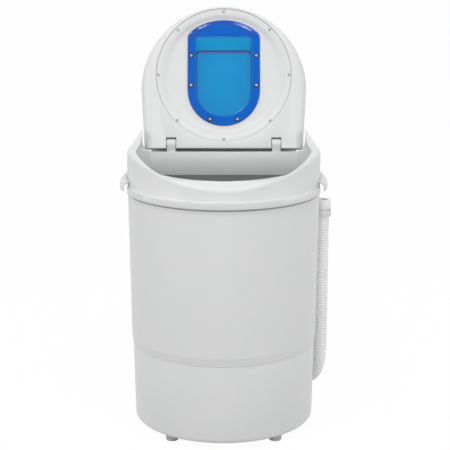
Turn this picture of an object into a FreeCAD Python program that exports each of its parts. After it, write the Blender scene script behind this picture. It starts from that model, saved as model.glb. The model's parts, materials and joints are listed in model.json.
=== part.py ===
import FreeCAD
import Part
import Sketcher
import math
import os
import re
from FreeCAD import Placement, Rotation, Vector

# Compact single-tub washing machine, lid standing open. Millimetres, +Z up, floor at z = 0,
# +Y to the rear, origin on the floor under the tub's axis.

doc = FreeCAD.newDocument("WashingMachine")

# Driving dimensions: alias, value and what it is.
SIZES = [
    ("fit_gap", 0.3, "gap between parts that are assembled side by side"),
    ("run_gap", 0.05, "radial running clearance of a pin or shaft"),
    ("wall", 3.0, "moulded wall thickness"),
    ("foot_height", 12.0, "floor to the underside of the housing"),
    ("foot_radius", 12.0, "foot radius at the floor"),
    ("foot_inset", 20.8, "feet, in from the housing's lower edge"),
    ("foot_angle", 49.4, "feet, degrees round from the sides"),
    ("foot_stem_radius", 4.0, "stem that plugs a foot into the bottom plate"),
    ("base_taper", 2.5, "how much the housing narrows from the seam to its foot, radius"),
    ("seam_inset", 1.5, "how far the housing stands in from the tub skirt at the seam"),
    ("base_edge_round", 8.0, "round on the lower edge of the housing"),
    ("base_lip_width", 20.0, "width of the lip that carries the bottom plate"),
    ("plate_thickness", 2.5, "bottom plate thickness"),
    ("seam_height", 151.0, "seam between housing and tub skirt"),
    ("platform_width", 18.7, "width of the ledge that carries the tub"),
    ("floor_rise", 21.0, "seam up to the underside of the tub floor"),
    ("tub_floor_thickness", 4.0, "tub floor thickness"),
    ("tub_taper", 4.5, "how much the tub narrows from its top edge to the seam, radius"),
    ("seam_band", 13.0, "height of the plain band above the seam"),
    ("seam_step", 0.8, "how far the tub stands proud of that band"),
    ("cover_step", 0.5, "how far the cover wall stands out from the tub's top edge"),
    ("tub_top", 431.0, "tub top edge height"),
    ("tub_corner_round", 18.0, "round between tub floor and wall"),
    ("cover_radius", 167.0, "top cover wall radius"),
    ("band_proud", 3.5, "how far the flange band stands out from the cover wall"),
    ("band_drop", 8.5, "tub top edge down to the flange band's lower edge"),
    ("band_rise", 4.0, "tub top edge up to the flange band's upper edge"),
    ("rim_front_rise", 22.6, "tub top edge up to the rim at the front"),
    ("rim_side_rise", 64.0, "tub top edge up to the rim at the sides"),
    ("rim_round", 8.0, "round on the outer edge of the rim"),
    ("rim_level_from", -30.0, "where the front scoop ends"),
    ("rim_rise_from", 15.0, "where the rear rise starts"),
    ("deck_run", 37.0, "hinge axis to the front of the control deck"),
    ("deck_rise", 32.0, "rim at the sides up to the control deck"),
    ("deck_thickness", 4.0, "rim and deck thickness"),
    ("rim_width", 20.0, "width of the rim round the loading mouth"),
    ("mouth_gap", 3.0, "tub top edge up to the mouth skirt"),
    ("chord_gap", 12.5, "hinge axis to the front face of the wall under it"),
    ("chord_drop", 11.7, "hinge axis down to the top edge of that wall"),
    ("well_depth", 19.7, "hinge axis down to the floor of the hinge well"),
    ("well_run", 25.0, "hinge axis to the rear end of the well floor"),
    ("well_side_gap", 4.0, "gap between the lid and the sides of the hinge well"),
    ("hinge_inset", 89.0, "hinge axis, in from the rear of the cover wall"),
    ("hinge_drop", 7.3, "rim at the sides down to the hinge axis"),
    ("lid_lean", 20.0, "lean of the open lid behind the vertical, degrees"),
    ("lid_drop", 2.9, "slope of the shut lid down to the front, degrees"),
    ("seat_gap", 1.6, "gap between the shut lid and its seat in the rim"),
    ("pin_radius", 3.0, "hinge pin radius"),
    ("knuckle_x", 93.6, "hinge knuckle, sideways from the axis"),
    ("knuckle_width", 15.6, "hinge knuckle width"),
    ("knuckle_radius", 9.5, "hinge knuckle barrel radius"),
    ("knuckle_gap", 1.0, "gap round the knuckle in the lid's notch"),
    ("ear_width", 7.0, "lid ear beside the knuckle"),
    ("lid_half_width", 141.5, "half width of the lid at the hinge end"),
    ("lid_radius", 148.0, "radius of the lid's round front"),
    ("lid_reach", 250.5, "hinge axis to the lid's front end"),
    ("lid_tail", 9.0, "hinge axis to the lid's rear edge"),
    ("lid_under", 10.0, "hinge axis to the lid's underside"),
    ("lid_split", 8.0, "hinge axis to the joint between frame and shell"),
    ("lid_top", 18.0, "hinge axis to the lid's outer face"),
    ("lid_flat_half", 127.0, "half width of the flat underside"),
    ("lid_flat_reach", 247.5, "hinge axis to the front end of the flat underside"),
    ("lid_top_inset", 11.0, "inset of the lid's outer face from its outline"),
    ("disc_y", 124.0, "hinge axis to the splash disc's centre"),
    ("disc_border", 6.0, "splash disc to the edge of the flat underside"),
    ("disc_step", 1.5, "depth of the splash disc below the underside"),
    ("disc_thickness", 2.0, "splash disc sheet thickness"),
    ("disc_flange", 13.0, "width of the flange round the disc's deeper dish"),
    ("dish_depth", 8.0, "depth of the dish below the disc's flange"),
    ("dish_draft", 3.0, "how much the dish narrows towards its floor, radius"),
    ("disc_screw_inset", 4.0, "disc screws, in from the disc's edge"),
    ("window_border", 14.7, "width of the window flange beside the pane"),
    ("window_top_y", 228.5, "hinge axis to the window's arched end"),
    ("window_shoulder_y", 202.0, "hinge axis to the ends of the arch"),
    ("window_round_y", 97.5, "hinge axis to the centre of the window's round end"),
    ("window_thickness", 2.5, "window sheet thickness"),
    ("pane_half", 50.3, "half width of the raised pane"),
    ("pane_top_y", 194.0, "hinge axis to the pane's far end at the flange"),
    ("pane_slope", 23.0, "length of the pane's sloped end"),
    ("pane_round_y", 101.0, "hinge axis to the centre of the pane's round end"),
    ("knob_x", 42.0, "control knobs, sideways from the axis"),
    ("knob_back", 18.5, "front of the control panel to the knobs"),
    ("knob_radius", 15.0, "control knob radius"),
    ("knob_height", 15.0, "control knob height"),
    ("spindle_radius", 3.0, "control spindle radius"),
    ("panel_thickness", 2.0, "control panel plate thickness"),
    ("panel_front_margin", 4.0, "front of the deck to the control panel"),
    ("panel_margin", 11.0, "control panel to the cover wall"),
    ("pulsator_clear", 23.0, "pulsator's edge to the middle of the drain hole"),
    ("pulsator_height", 26.0, "pulsator hub height"),
    ("shaft_radius", 6.0, "drive shaft radius"),
    ("bearing_radius", 14.0, "bearing housing radius"),
    ("seal_radius", 10.0, "water seal radius"),
    ("tub_pulley_radius", 55.0, "tub pulley radius"),
    ("motor_pulley_radius", 14.0, "motor pulley radius"),
    ("pulley_low", 106.0, "lower face of both pulleys"),
    ("pulley_width", 16.0, "width of both pulleys"),
    ("belt_width", 8.0, "belt width"),
    ("belt_depth", 6.0, "belt depth in the groove"),
    ("motor_x", -82.0, "motor axis, sideways from the tub's axis"),
    ("motor_radius", 48.0, "motor body radius"),
    ("motor_height", 62.0, "motor body height"),
    ("motor_shaft_radius", 5.0, "motor shaft radius"),
    ("rotor_radius", 26.0, "motor rotor radius"),
    ("rotor_height", 36.0, "motor rotor height"),
    ("grommet_height", 8.0, "rubber grommet height"),
    ("motor_plate_half", 44.0, "half width of the motor plate"),
    ("drain_inset", 44.0, "drain hole, in from the tub skirt at the seam"),
    ("drain_angle", 67.0, "drain hole, degrees from +X towards the rear"),
    ("drain_bore", 8.5, "drain pipe bore radius"),
    ("drain_pipe_radius", 11.0, "drain pipe radius"),
    ("outlet_height", 30.0, "height of the drain outlet"),
    ("outlet_clear", 21.5, "outlet elbow, out from the housing at the seam"),
    ("outlet_length", 24.0, "outlet elbow to the hose's end"),
    ("hose_radius", 12.0, "hose rib radius"),
    ("hose_root_radius", 10.2, "hose radius between ribs"),
    ("hose_bore", 8.6, "hose bore radius"),
    ("hose_plain_radius", 11.4, "hose radius at its plain ends"),
    ("rib_pitch", 4.9, "spacing of the hose ribs"),
    ("cuff_length", 31.0, "hose end cuff length"),
    ("cuff_radius", 14.2, "hose end cuff radius"),
    ("grip_half_length", 46.0, "half length of a carrying grip"),
    ("grip_depth", 13.0, "how far a carrying grip stands out from the cover wall"),
    ("grip_skirt", 3.0, "tub top edge down to the lower edge of a carrying grip"),
    ("grip_rise", 16.0, "tub top edge up to the top of a carrying grip"),
]

sheet = doc.addObject("Spreadsheet::Sheet", "Sizes")
for row, (alias, value, words) in enumerate(SIZES, start=1):
    sheet.set("A%d" % row, words)
    sheet.set("B%d" % row, str(value))
    sheet.setAlias("B%d" % row, alias)
doc.recompute()
ALIASES = {alias for alias, value, words in SIZES}
NODES = []


# Sizes that follow from the sheet, as formulas of its cells.
FOLLOWS = {
    "tub_bottom_radius": "cover_radius - cover_step - tub_taper",
    "tub_floor_under": "seam_height + floor_rise",
    "band_low": "tub_top - band_drop",
    "band_top": "tub_top + band_rise",
    "rim_front": "tub_top + rim_front_rise",
    "rim_side": "tub_top + rim_side_rise",
    "deck_height": "tub_top + rim_side_rise + deck_rise",
    "mouth_low": "tub_top + mouth_gap",
    "hinge_z": "tub_top + rim_side_rise - hinge_drop",
    "grip_low": "tub_top - grip_skirt",
    "grip_top": "tub_top + grip_rise",
    "base_top_radius": "tub_bottom_radius - seam_inset",
    "base_bottom_radius": "tub_bottom_radius - seam_inset - base_taper",
    "base_lip_radius": "tub_bottom_radius - seam_inset - base_taper - base_lip_width",
    "platform_bore": "tub_bottom_radius - wall - fit_gap - platform_width",
    "tub_top_radius": "cover_radius - cover_step",
    "mouth_radius": "cover_radius - rim_width",
    "drain_radius": "tub_bottom_radius - drain_inset",
    "pulsator_radius": "tub_bottom_radius - drain_inset - pulsator_clear",
    "hinge_y": "cover_radius - hinge_inset",
    "band_radius": "cover_radius + band_proud",
    "grip_reach": "cover_radius + grip_depth",
    "chord_y": "hinge_y - chord_gap",
    "chord_top": "hinge_z - chord_drop",
    "well_floor": "hinge_z - well_depth",
    "well_rear": "hinge_y + well_run",
    "well_half_width": "lid_half_width + well_side_gap",
    "deck_front": "hinge_y + deck_run",
    "panel_front": "hinge_y + deck_run + panel_front_margin",
    "panel_radius": "cover_radius - panel_margin",
    "knob_y": "hinge_y + deck_run + panel_front_margin + knob_back",
    "disc_radius": "lid_flat_half - disc_border",
    "dish_radius": "lid_flat_half - disc_border - disc_flange",
    "disc_screw_circle": "lid_flat_half - disc_border - disc_screw_inset",
    "window_half": "pane_half + window_border",
    "outlet_reach": "tub_bottom_radius - seam_inset + outlet_clear",
}


def formula(text):
    # Writes a formula of plain names as one of the sheet's cells.
    def cell(word):
        name = word.group()
        if name in FOLLOWS:
            return "(" + formula(FOLLOWS[name]) + ")"
        return "Sizes." + name if name in ALIASES else name

    return re.sub(r"[a-z_]+[a-z]", cell, str(text))


def size(name):
    # A size read off the sheet, or one that follows from it.
    return float(sheet.evalExpression(formula(name)))


def bind(thing, **formulas):
    for name, text in formulas.items():
        thing.setExpression(name, formula(text))
    return thing


def place(thing, at, turn=None):
    # Seats an object at three formulas, after an optional fixed turn.
    if turn:
        thing.Placement = Placement(Vector(), turn)
    for axis, text in zip("xyz", at):
        thing.setExpression("Placement.Base." + axis, formula(text))
    return thing


def node(thing, name):
    thing.Label = name
    NODES.append(thing)
    return thing


ORIGIN = ("0", "0", "0")
ALONG_X = Rotation(Vector(0, 1, 0), 90)


def cylinder(name, radius, height, at=ORIGIN, turn=None):
    rod = doc.addObject("Part::Cylinder", name)
    return place(bind(rod, Radius=radius, Height=height), at, turn)


def cone(name, low, high, height, at=ORIGIN, turn=None):
    taper = doc.addObject("Part::Cone", name)
    return place(bind(taper, Radius1=low, Radius2=high, Height=height), at, turn)


def box(name, length, width, height, at=ORIGIN, turn=None):
    block = doc.addObject("Part::Box", name)
    return place(bind(block, Length=length, Width=width, Height=height), at, turn)


def fuse(name, pieces):
    joined = doc.addObject("Part::MultiFuse", name)
    joined.Shapes = pieces
    return joined


def cut(name, base, tools):
    result = doc.addObject("Part::Cut", name)
    result.Base = base
    result.Tool = tools[0] if len(tools) == 1 else fuse(name + "Tools", tools)
    return result


def group(name, pieces):
    # Separate solids that share one node, such as a set of screws.
    together = doc.addObject("Part::Compound", name)
    together.Links = pieces
    return together


def solid(name, shape):
    # A form that primitives can't give, built from sizes read off the sheet.
    feature = doc.addObject("Part::Feature", name)
    feature.Shape = shape
    return feature


def outline(body, plane, points):
    # A closed polygon whose corners are held by formulas for their two coordinates.
    sketch = body.newObject("Sketcher::SketchObject", body.Name + "Outline")
    role = [face for face in body.Origin.OriginFeatures if face.Role == plane][0]
    sketch.AttachmentSupport = [(role, "")]
    sketch.MapMode = "FlatFace"
    count = len(points)
    rough = [Vector(*[sheet.evalExpression(formula(text)) for text in point]) for point in points]
    for index in range(count):
        sketch.addGeometry(Part.LineSegment(rough[index], rough[(index + 1) % count]), False)
    for index in range(count):
        sketch.addConstraint(Sketcher.Constraint("Coincident", index, 2, (index + 1) % count, 1))
    for index, point in enumerate(points):
        for kind, text, start in zip(("DistanceX", "DistanceY"), point, rough[index]):
            held = sketch.addConstraint(Sketcher.Constraint(kind, index, 1, start))
            sketch.setExpression("Constraints[%d]" % held, formula(text))
    return sketch


def turned(name, points, at=ORIGIN, turn=None):
    # A body turned about its own Z axis from corners given as (radius, height).
    body = doc.addObject("PartDesign::Body", name)
    sketch = outline(body, "XZ_Plane", points)
    spin = body.newObject("PartDesign::Revolution", name + "Turn")
    spin.Profile = sketch
    spin.ReferenceAxis = (sketch, ["V_Axis"])
    spin.Angle = 360
    return place(body, at, turn)


def padded(name, plane, points, length, at=ORIGIN, turn=None):
    # A body pushed both ways from a plane of its own, by a length in all.
    body = doc.addObject("PartDesign::Body", name)
    sketch = outline(body, plane, points)
    pad = body.newObject("PartDesign::Pad", name + "Pad")
    pad.Profile = sketch
    pad.Midplane = True
    bind(pad, Length=length)
    return place(body, at, turn)


def screw_shape(head_radius, head_height, shank_radius, shank_length):
    # A pan-head screw on Z, its head above z = 0 and its shank below, with a cross recess.
    head = Part.makeCone(head_radius, head_radius * 0.7, head_height)
    slot = Part.makeBox(head_radius, head_radius * 0.24, head_height)
    slot.translate(Vector(-head_radius / 2, -head_radius * 0.12, head_height * 0.55))
    cross = slot.copy()
    cross.rotate(Vector(), Vector(0, 0, 1), 90)
    shank = Part.makeCylinder(shank_radius, shank_length, Vector(0, 0, -shank_length))
    return head.cut(slot.fuse(cross)).fuse(shank).removeSplitter()


def screws(name, places, sizes, turn=Rotation()):
    # One node of like screws; each head stands along the turned Z axis.
    shapes = []
    for spot in places:
        one = screw_shape(*sizes)
        one.Placement = Placement(Vector(*spot), turn)
        shapes.append(one)
    return solid(name, Part.makeCompound(shapes))


def ring_places(count, radius, height, start=0.0, centre=(0.0, 0.0)):
    angles = [math.radians(start + 360.0 * index / count) for index in range(count)]
    return [(centre[0] + radius * math.cos(a), centre[1] + radius * math.sin(a), height) for a in angles]


def rounded(name, base, radius, wanted):
    # Rounds the edges of an object whose midpoints satisfy a test.
    doc.recompute()
    picked = []
    for index, edge in enumerate(base.Shape.Edges, start=1):
        middle = edge.valueAt((edge.FirstParameter + edge.LastParameter) / 2)
        if wanted(middle, edge):
            picked.append((index, radius, radius))
    fillet = doc.addObject("Part::Fillet", name)
    fillet.Base = base
    fillet.Edges = picked
    return fillet


def on_circle(radius, height):
    return lambda point, edge: (abs(math.hypot(point.x, point.y) - radius) < 0.01
                                and abs(point.z - height) < 0.01)


def polar(radius, degrees, height):
    angle = math.radians(degrees)
    return Vector(radius * math.cos(angle), radius * math.sin(angle), height)


# Heights and radii shared by several pieces, as formulas.
PLATE_Z = "foot_height + wall"
PLATE_TOP = PLATE_Z + " + plate_thickness"
MOTOR_PLATE_Z = PLATE_TOP + " + grommet_height"
MOTOR_Z = MOTOR_PLATE_Z + " + plate_thickness"
FLOOR_TOP = "tub_floor_under + tub_floor_thickness"
NECK = "tub_bottom_radius - wall - fit_gap"
GROOVE = "belt_depth + 1"
floor_top = size("tub_floor_under") + size("tub_floor_thickness")
plate_z = size("foot_height") + size("wall")
motor_plate_z = plate_z + size("plate_thickness") + size("grommet_height")
bolt_reach = size("motor_plate_half") - 6
BOLT_RADIUS = 2.5
BOLT_HOLE = 2.7
SCREW_RADIUS = 1.5
SCREW_HOLE = 1.7
bolt_spots = [(size("motor_x") + sx * bolt_reach, sy * bolt_reach) for sx in (-1, 1) for sy in (-1, 1)]
foot_circle = size("base_bottom_radius") - size("foot_inset")
foot_spots = [tuple(polar(foot_circle, angle, 0))[:2]
              for turn in (0, 180) for angle in (turn + size("foot_angle"), turn - size("foot_angle"))]
bottom_screw_circle = size("base_lip_radius") + 6
tub_screw_circle = size("platform_bore") + 8

# The mains cord's gland in the housing wall.
GLAND_ANGLE = 118.0
GLAND_RADIUS = "6.5"
GLAND_Z = "42"


def feet():
    made = []
    for index, (x, y) in enumerate(foot_spots):
        pad = cone("FootPad%d" % index, "foot_radius - 1.5", "foot_radius", PLATE_Z, (x, y, "0"))
        stem = cylinder("FootStem%d" % index, "foot_stem_radius - run_gap", "plate_thickness",
                        (x, y, PLATE_Z))
        made.append(fuse("Foot%d" % index, [pad, stem]))
    node(group("Feet", made), "rubber_feet")


def bottom_plate():
    disc = cylinder("PlateDisc", "base_bottom_radius - wall - fit_gap", "plate_thickness",
                    ("0", "0", PLATE_Z))
    holes = [cylinder("StemHole%d" % index, "foot_stem_radius", "plate_thickness", (x, y, PLATE_Z))
             for index, (x, y) in enumerate(foot_spots)]
    holes += [cylinder("BoltHole%d" % index, BOLT_HOLE, "plate_thickness", (x, y, PLATE_Z))
              for index, (x, y) in enumerate(bolt_spots)]
    holes += [cylinder("PlateScrewHole%d" % index, SCREW_HOLE, "plate_thickness", (x, y, PLATE_Z))
              for index, (x, y, z) in enumerate(ring_places(4, bottom_screw_circle, 0))]
    node(cut("BottomPlate", disc, holes), "bottom_plate")
    flipped = Rotation(Vector(1, 0, 0), 180)
    spots = ring_places(4, bottom_screw_circle, size("foot_height"))
    length = size("wall") + size("plate_thickness")
    node(screws("BottomScrews", spots, (3.2, 1.8, SCREW_RADIUS, length), flipped), "bottom_screws")


def base_housing():
    lip = "base_lip_radius"
    platform_low = "tub_floor_under - wall"
    inner = NECK + " - wall"
    points = [(lip, "foot_height"), ("base_bottom_radius", "foot_height"),
              ("base_top_radius", "seam_height"), (NECK, "seam_height"), (NECK, "tub_floor_under"),
              ("platform_bore", "tub_floor_under"),
              ("platform_bore", platform_low), (inner, platform_low),
              ("base_bottom_radius - wall", PLATE_Z), (lip, PLATE_Z)]
    shell = turned("HousingShell", points)
    edge = on_circle(size("base_bottom_radius"), size("foot_height"))
    shell = rounded("HousingRound", shell, size("base_edge_round"), edge)
    holes = [cylinder("FootHole%d" % index, "foot_radius + fit_gap", "wall", (x, y, "foot_height"))
             for index, (x, y) in enumerate(foot_spots)]
    holes += [cylinder("LipHole%d" % index, SCREW_HOLE, "wall", (x, y, "foot_height"))
              for index, (x, y, z) in enumerate(ring_places(4, bottom_screw_circle, 0))]
    holes += [cylinder("PlatformHole%d" % index, SCREW_HOLE, "wall", (x, y, platform_low))
              for index, (x, y, z) in enumerate(ring_places(6, tub_screw_circle, 0))]
    outward = Rotation(Vector(0, 0, 1), size("drain_angle")).multiply(ALONG_X)
    holes.append(cylinder("OutletHole", "drain_pipe_radius + fit_gap", "outlet_reach",
                          ("0", "0", "outlet_height"), outward))
    gland = Rotation(Vector(0, 0, 1), GLAND_ANGLE).multiply(ALONG_X)
    holes.append(cylinder("GlandHole", GLAND_RADIUS + " + fit_gap", "outlet_reach",
                          ("0", "0", GLAND_Z), gland))
    node(cut("BaseHousing", shell, holes), "base_housing")


def cord_gland():
    wall_inner = "base_bottom_radius - wall - 4"
    wall_outer = "base_top_radius + 0.5"
    bore = "3.6"
    points = [(bore, wall_inner), (GLAND_RADIUS, wall_inner), (GLAND_RADIUS, wall_outer),
              ("9.5", wall_outer), ("8", wall_outer + " + 4"), (bore, wall_outer + " + 4")]
    outward = Rotation(Vector(0, 0, 1), GLAND_ANGLE).multiply(ALONG_X)
    node(turned("CordGland", points, ("0", "0", GLAND_Z), outward), "cord_gland")


def wash_tub():
    skirt = "tub_bottom_radius - wall"
    hub = "bearing_radius + fit_gap"
    step = "seam_height + seam_band"
    points = [("tub_bottom_radius", "seam_height"), ("tub_bottom_radius", step),
              ("tub_bottom_radius + seam_step", step + " + seam_step"), ("tub_top_radius", "tub_top"),
              ("tub_top_radius - wall", "tub_top"), (skirt, FLOOR_TOP), (hub, FLOOR_TOP),
              (hub, "tub_floor_under"), (skirt, "tub_floor_under"), (skirt, "seam_height")]
    shell = turned("TubShell", points)
    corner = on_circle(size("tub_bottom_radius") - size("wall"), floor_top)
    shell = rounded("TubRound", shell, size("tub_corner_round"), corner)
    spot = polar(size("drain_radius"), size("drain_angle"), 0)
    drain = cylinder("TubDrain", "drain_bore", "tub_floor_thickness", (spot.x, spot.y, "tub_floor_under"))
    holes = [cylinder("TubScrewHole%d" % index, SCREW_HOLE, "2.5", (x, y, "tub_floor_under"))
             for index, (x, y, z) in enumerate(ring_places(6, tub_screw_circle, 0))]
    node(cut("WashTub", shell, [drain] + holes), "wash_tub")
    under = ring_places(6, tub_screw_circle, size("tub_floor_under") - size("wall"))
    flipped = Rotation(Vector(1, 0, 0), 180)
    node(screws("TubScrews", under, (3.2, 1.8, SCREW_RADIUS, size("wall") + 2.2), flipped), "tub_screws")


def drain_parts():
    spot = polar(size("drain_radius"), size("drain_angle"), 0)
    at_floor = (spot.x, spot.y, FLOOR_TOP)
    cap = turned("StrainerCap", [("0", "0"), ("drain_bore + 6", "0"), ("drain_bore + 6", "1.2"),
                                 ("drain_bore", "3"), ("0", "3")], at_floor)
    slots = [cylinder("StrainerHole%d" % index, "1.6", "4", (x, y, FLOOR_TOP))
             for index, (x, y, z) in enumerate(ring_places(8, 6.0, 0, 0.0, (spot.x, spot.y)))]
    node(cut("DrainStrainer", cap, slots), "drain_strainer")
    angle = size("drain_angle")
    low = size("outlet_height")
    corner = polar(size("outlet_reach"), angle, low)
    along = polar(1.0, angle - 90, 0)
    bend = polar(size("drain_radius"), angle, low)
    nose = size("hose_bore") - 0.3

    def run(radius, nose_radius, overrun):
        drop = size("tub_floor_under") - low + overrun
        down = Part.makeCylinder(radius, drop, bend)
        reach = size("outlet_reach") - size("drain_radius")
        across = Part.makeCylinder(radius, reach, bend, polar(1.0, angle, 0))
        stub = Part.makeCylinder(radius, size("outlet_length"), corner, along)
        tip_length = size("outlet_length") + 14 + overrun
        tip = Part.makeCylinder(nose_radius, tip_length, corner, along)
        knees = [Part.makeSphere(radius, bend), Part.makeSphere(radius, corner)]
        return down.multiFuse([across, stub, tip] + knees)

    outside = run(size("drain_pipe_radius"), nose, 0.0)
    inside = run(size("drain_pipe_radius") - 2.5, nose - 2.0, 1.0)
    # The wider bore stops short of the shoulder that carries the nose.
    plug = Part.makeCylinder(size("drain_pipe_radius"), 3.0,
                             corner + along * (size("outlet_length") - 3.0), along)
    hole = Part.makeCylinder(nose - 2.0, 3.0, corner + along * (size("outlet_length") - 3.0), along)
    pipe = outside.cut(inside).fuse(plug.cut(hole)).removeSplitter()
    node(solid("DrainPipe", pipe), "drain_pipe")


def bearing_parts():
    low = "tub_floor_under - 44"
    bore = "shaft_radius + run_gap"
    points = [(bore, low), ("bearing_radius", low), ("bearing_radius", "tub_floor_under - 5"),
              ("30", "tub_floor_under - 5"), ("30", "tub_floor_under"),
              ("bearing_radius", "tub_floor_under"), ("bearing_radius", FLOOR_TOP),
              ("seal_radius", FLOOR_TOP), ("seal_radius", FLOOR_TOP + " - 6"),
              (bore, FLOOR_TOP + " - 6")]
    node(turned("ShaftBearing", points), "shaft_bearing")
    ring = [(bore, FLOOR_TOP + " - 6"), ("seal_radius - run_gap", FLOOR_TOP + " - 6"),
            ("seal_radius - run_gap", FLOOR_TOP), ("shaft_radius + 1.5", FLOOR_TOP),
            (bore, FLOOR_TOP + " - 2")]
    node(turned("WaterSeal", ring), "water_seal")


def pulley(name, radius, bore, at):
    # A grooved pulley on Z; the groove is cut at half its width.
    middle = "pulley_width / 2"
    narrow = "(belt_width / 2 + fit_gap)"
    wide = "(belt_width / 2 + fit_gap + 1.5)"
    root = radius + " - " + GROOVE.replace(" + ", " - ")
    points = [(bore, "0"), (radius, "0"), (radius, middle + " - " + wide), (root, middle + " - " + narrow),
              (root, middle + " + " + narrow), (radius, middle + " + " + wide), (radius, "pulley_width"),
              (bore, "pulley_width")]
    return turned(name, points, at)


def drive_train():
    low = "pulley_low - 10"
    top = FLOOR_TOP + " + pulsator_height - 5"
    node(cylinder("DriveShaft", "shaft_radius", top + " - (" + low + ")", ("0", "0", low)), "drive_shaft")
    hub = ("0", "0", "pulley_low")
    node(pulley("TubPulley", "tub_pulley_radius", "shaft_radius + run_gap", hub), "tub_pulley")
    hexagon = [("%f" % (11 * math.cos(math.radians(60 * k))), "%f" % (11 * math.sin(math.radians(60 * k))))
               for k in range(6)]
    blank = padded("NutBlank", "XY_Plane", hexagon, "7", ("0", "0", "pulley_low - 3.5"))
    thread = cylinder("NutBore", "shaft_radius + run_gap", "9", ("0", "0", "pulley_low - 8"))
    node(cut("ShaftNut", blank, [thread]), "shaft_nut")


def loop_wire(big, small, centre, height):
    # The outline of a belt round two pulleys: two tangent runs and two arcs.
    reach = abs(centre)
    side = 1 if centre > 0 else -1
    tilt = math.acos((big - small) / reach)

    def at(x, radius, angle):
        return Vector(x + side * radius * math.cos(angle), radius * math.sin(angle), height)

    first = Part.Arc(at(0, big, tilt), at(0, big, math.pi), at(0, big, -tilt))
    second = Part.Arc(at(centre, small, -tilt), at(centre, small, 0), at(centre, small, tilt))
    lower = Part.LineSegment(at(0, big, -tilt), at(centre, small, -tilt))
    upper = Part.LineSegment(at(centre, small, tilt), at(0, big, tilt))
    return Part.Wire([first.toShape(), lower.toShape(), second.toShape(), upper.toShape()])


def belt():
    depth = size("belt_depth")
    seat = depth + 1 - size("fit_gap")
    low = size("pulley_low") + size("pulley_width") / 2 - size("belt_width") / 2
    big = size("tub_pulley_radius") - seat
    small = size("motor_pulley_radius") - seat
    rise = Vector(0, 0, size("belt_width"))
    outer = Part.Face(loop_wire(big + depth, small + depth, size("motor_x"), low)).extrude(rise)
    inner = Part.Face(loop_wire(big, small, size("motor_x"), low)).extrude(rise)
    node(solid("DriveBelt", outer.cut(inner)), "drive_belt")


def motor_parts():
    bore = "motor_shaft_radius + run_gap"
    points = [(bore, "0"), ("motor_radius - 4", "0"), ("motor_radius", "4"),
              ("motor_radius", "motor_height - 4"), ("motor_radius - 4", "motor_height"),
              ("12", "motor_height"), ("12", "motor_height + 5"),
              (bore, "motor_height + 5")]
    can = turned("MotorCan", points, ("motor_x", "0", MOTOR_Z))
    core_z = MOTOR_Z + " + (motor_height - rotor_height) / 2"
    room = cylinder("RotorRoom", "rotor_radius + 2 * fit_gap", "rotor_height + 4 * fit_gap",
                    ("motor_x", "0", core_z + " - 2 * fit_gap"))
    node(cut("Motor", can, [room]), "motor")
    core = cylinder("RotorBlank", "rotor_radius", "rotor_height", ("motor_x", "0", core_z))
    eye = cylinder("RotorBore", bore, "rotor_height", ("motor_x", "0", core_z))
    node(cut("RotorCore", core, [eye]), "rotor_core")
    shaft_low = MOTOR_Z + " + fit_gap"
    shaft_length = "pulley_low + pulley_width + 4 - (" + shaft_low + ")"
    shaft = cylinder("MotorShaft", "motor_shaft_radius", shaft_length, ("motor_x", "0", shaft_low))
    node(shaft, "motor_shaft")
    hub = ("motor_x", "0", "pulley_low")
    node(pulley("MotorPulley", "motor_pulley_radius", bore, hub), "motor_pulley")
    span = "2 * motor_plate_half"
    blank = box("MotorPlateBlank", span, span, "plate_thickness",
                ("motor_x - motor_plate_half", "-motor_plate_half", MOTOR_PLATE_Z))
    holes = [cylinder("MotorPlateHole%d" % index, BOLT_HOLE, "plate_thickness", (x, y, MOTOR_PLATE_Z))
             for index, (x, y) in enumerate(bolt_spots)]
    node(cut("MotorPlate", blank, holes), "motor_plate")
    waisted = [(BOLT_HOLE, "0"), ("7", "0"), ("6", "grommet_height / 2"), ("7", "grommet_height"),
               (BOLT_HOLE, "grommet_height")]
    rings = [turned("Grommet%d" % index, waisted, (x, y, PLATE_TOP))
             for index, (x, y) in enumerate(bolt_spots)]
    node(group("Grommets", rings), "motor_grommets")
    top = motor_plate_z + size("plate_thickness")
    length = top - plate_z + 1.5
    spots = [(x, y, top) for x, y in bolt_spots]
    node(screws("MotorBolts", spots, (4.5, 3.5, BOLT_RADIUS, length)), "motor_bolts")


CAPACITOR_X = 72.0
CAPACITOR_Y = -78.0
CAPACITOR_RADIUS = "17"


def capacitor_parts():
    at = (CAPACITOR_X, CAPACITOR_Y, PLATE_TOP)
    points = [("0", "0"), (CAPACITOR_RADIUS, "0"), (CAPACITOR_RADIUS, "62"), ("15", "64"), ("0", "64")]
    node(turned("Capacitor", points, at), "capacitor")
    band_z = PLATE_TOP + " + 24"
    band = cylinder("ClipBand", CAPACITOR_RADIUS + " + 2", "12", (CAPACITOR_X, CAPACITOR_Y, band_z))
    leg = box("ClipLeg", "2", "14", "36", (CAPACITOR_X + 18, CAPACITOR_Y - 7, PLATE_TOP))
    foot = box("ClipFoot", "14", "14", "2", (CAPACITOR_X + 18, CAPACITOR_Y - 7, PLATE_TOP))
    room = cylinder("ClipBore", CAPACITOR_RADIUS + " + run_gap", "70", at)
    node(cut("CapacitorClip", fuse("ClipBlank", [band, leg, foot]), [room]), "capacitor_clip")


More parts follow.
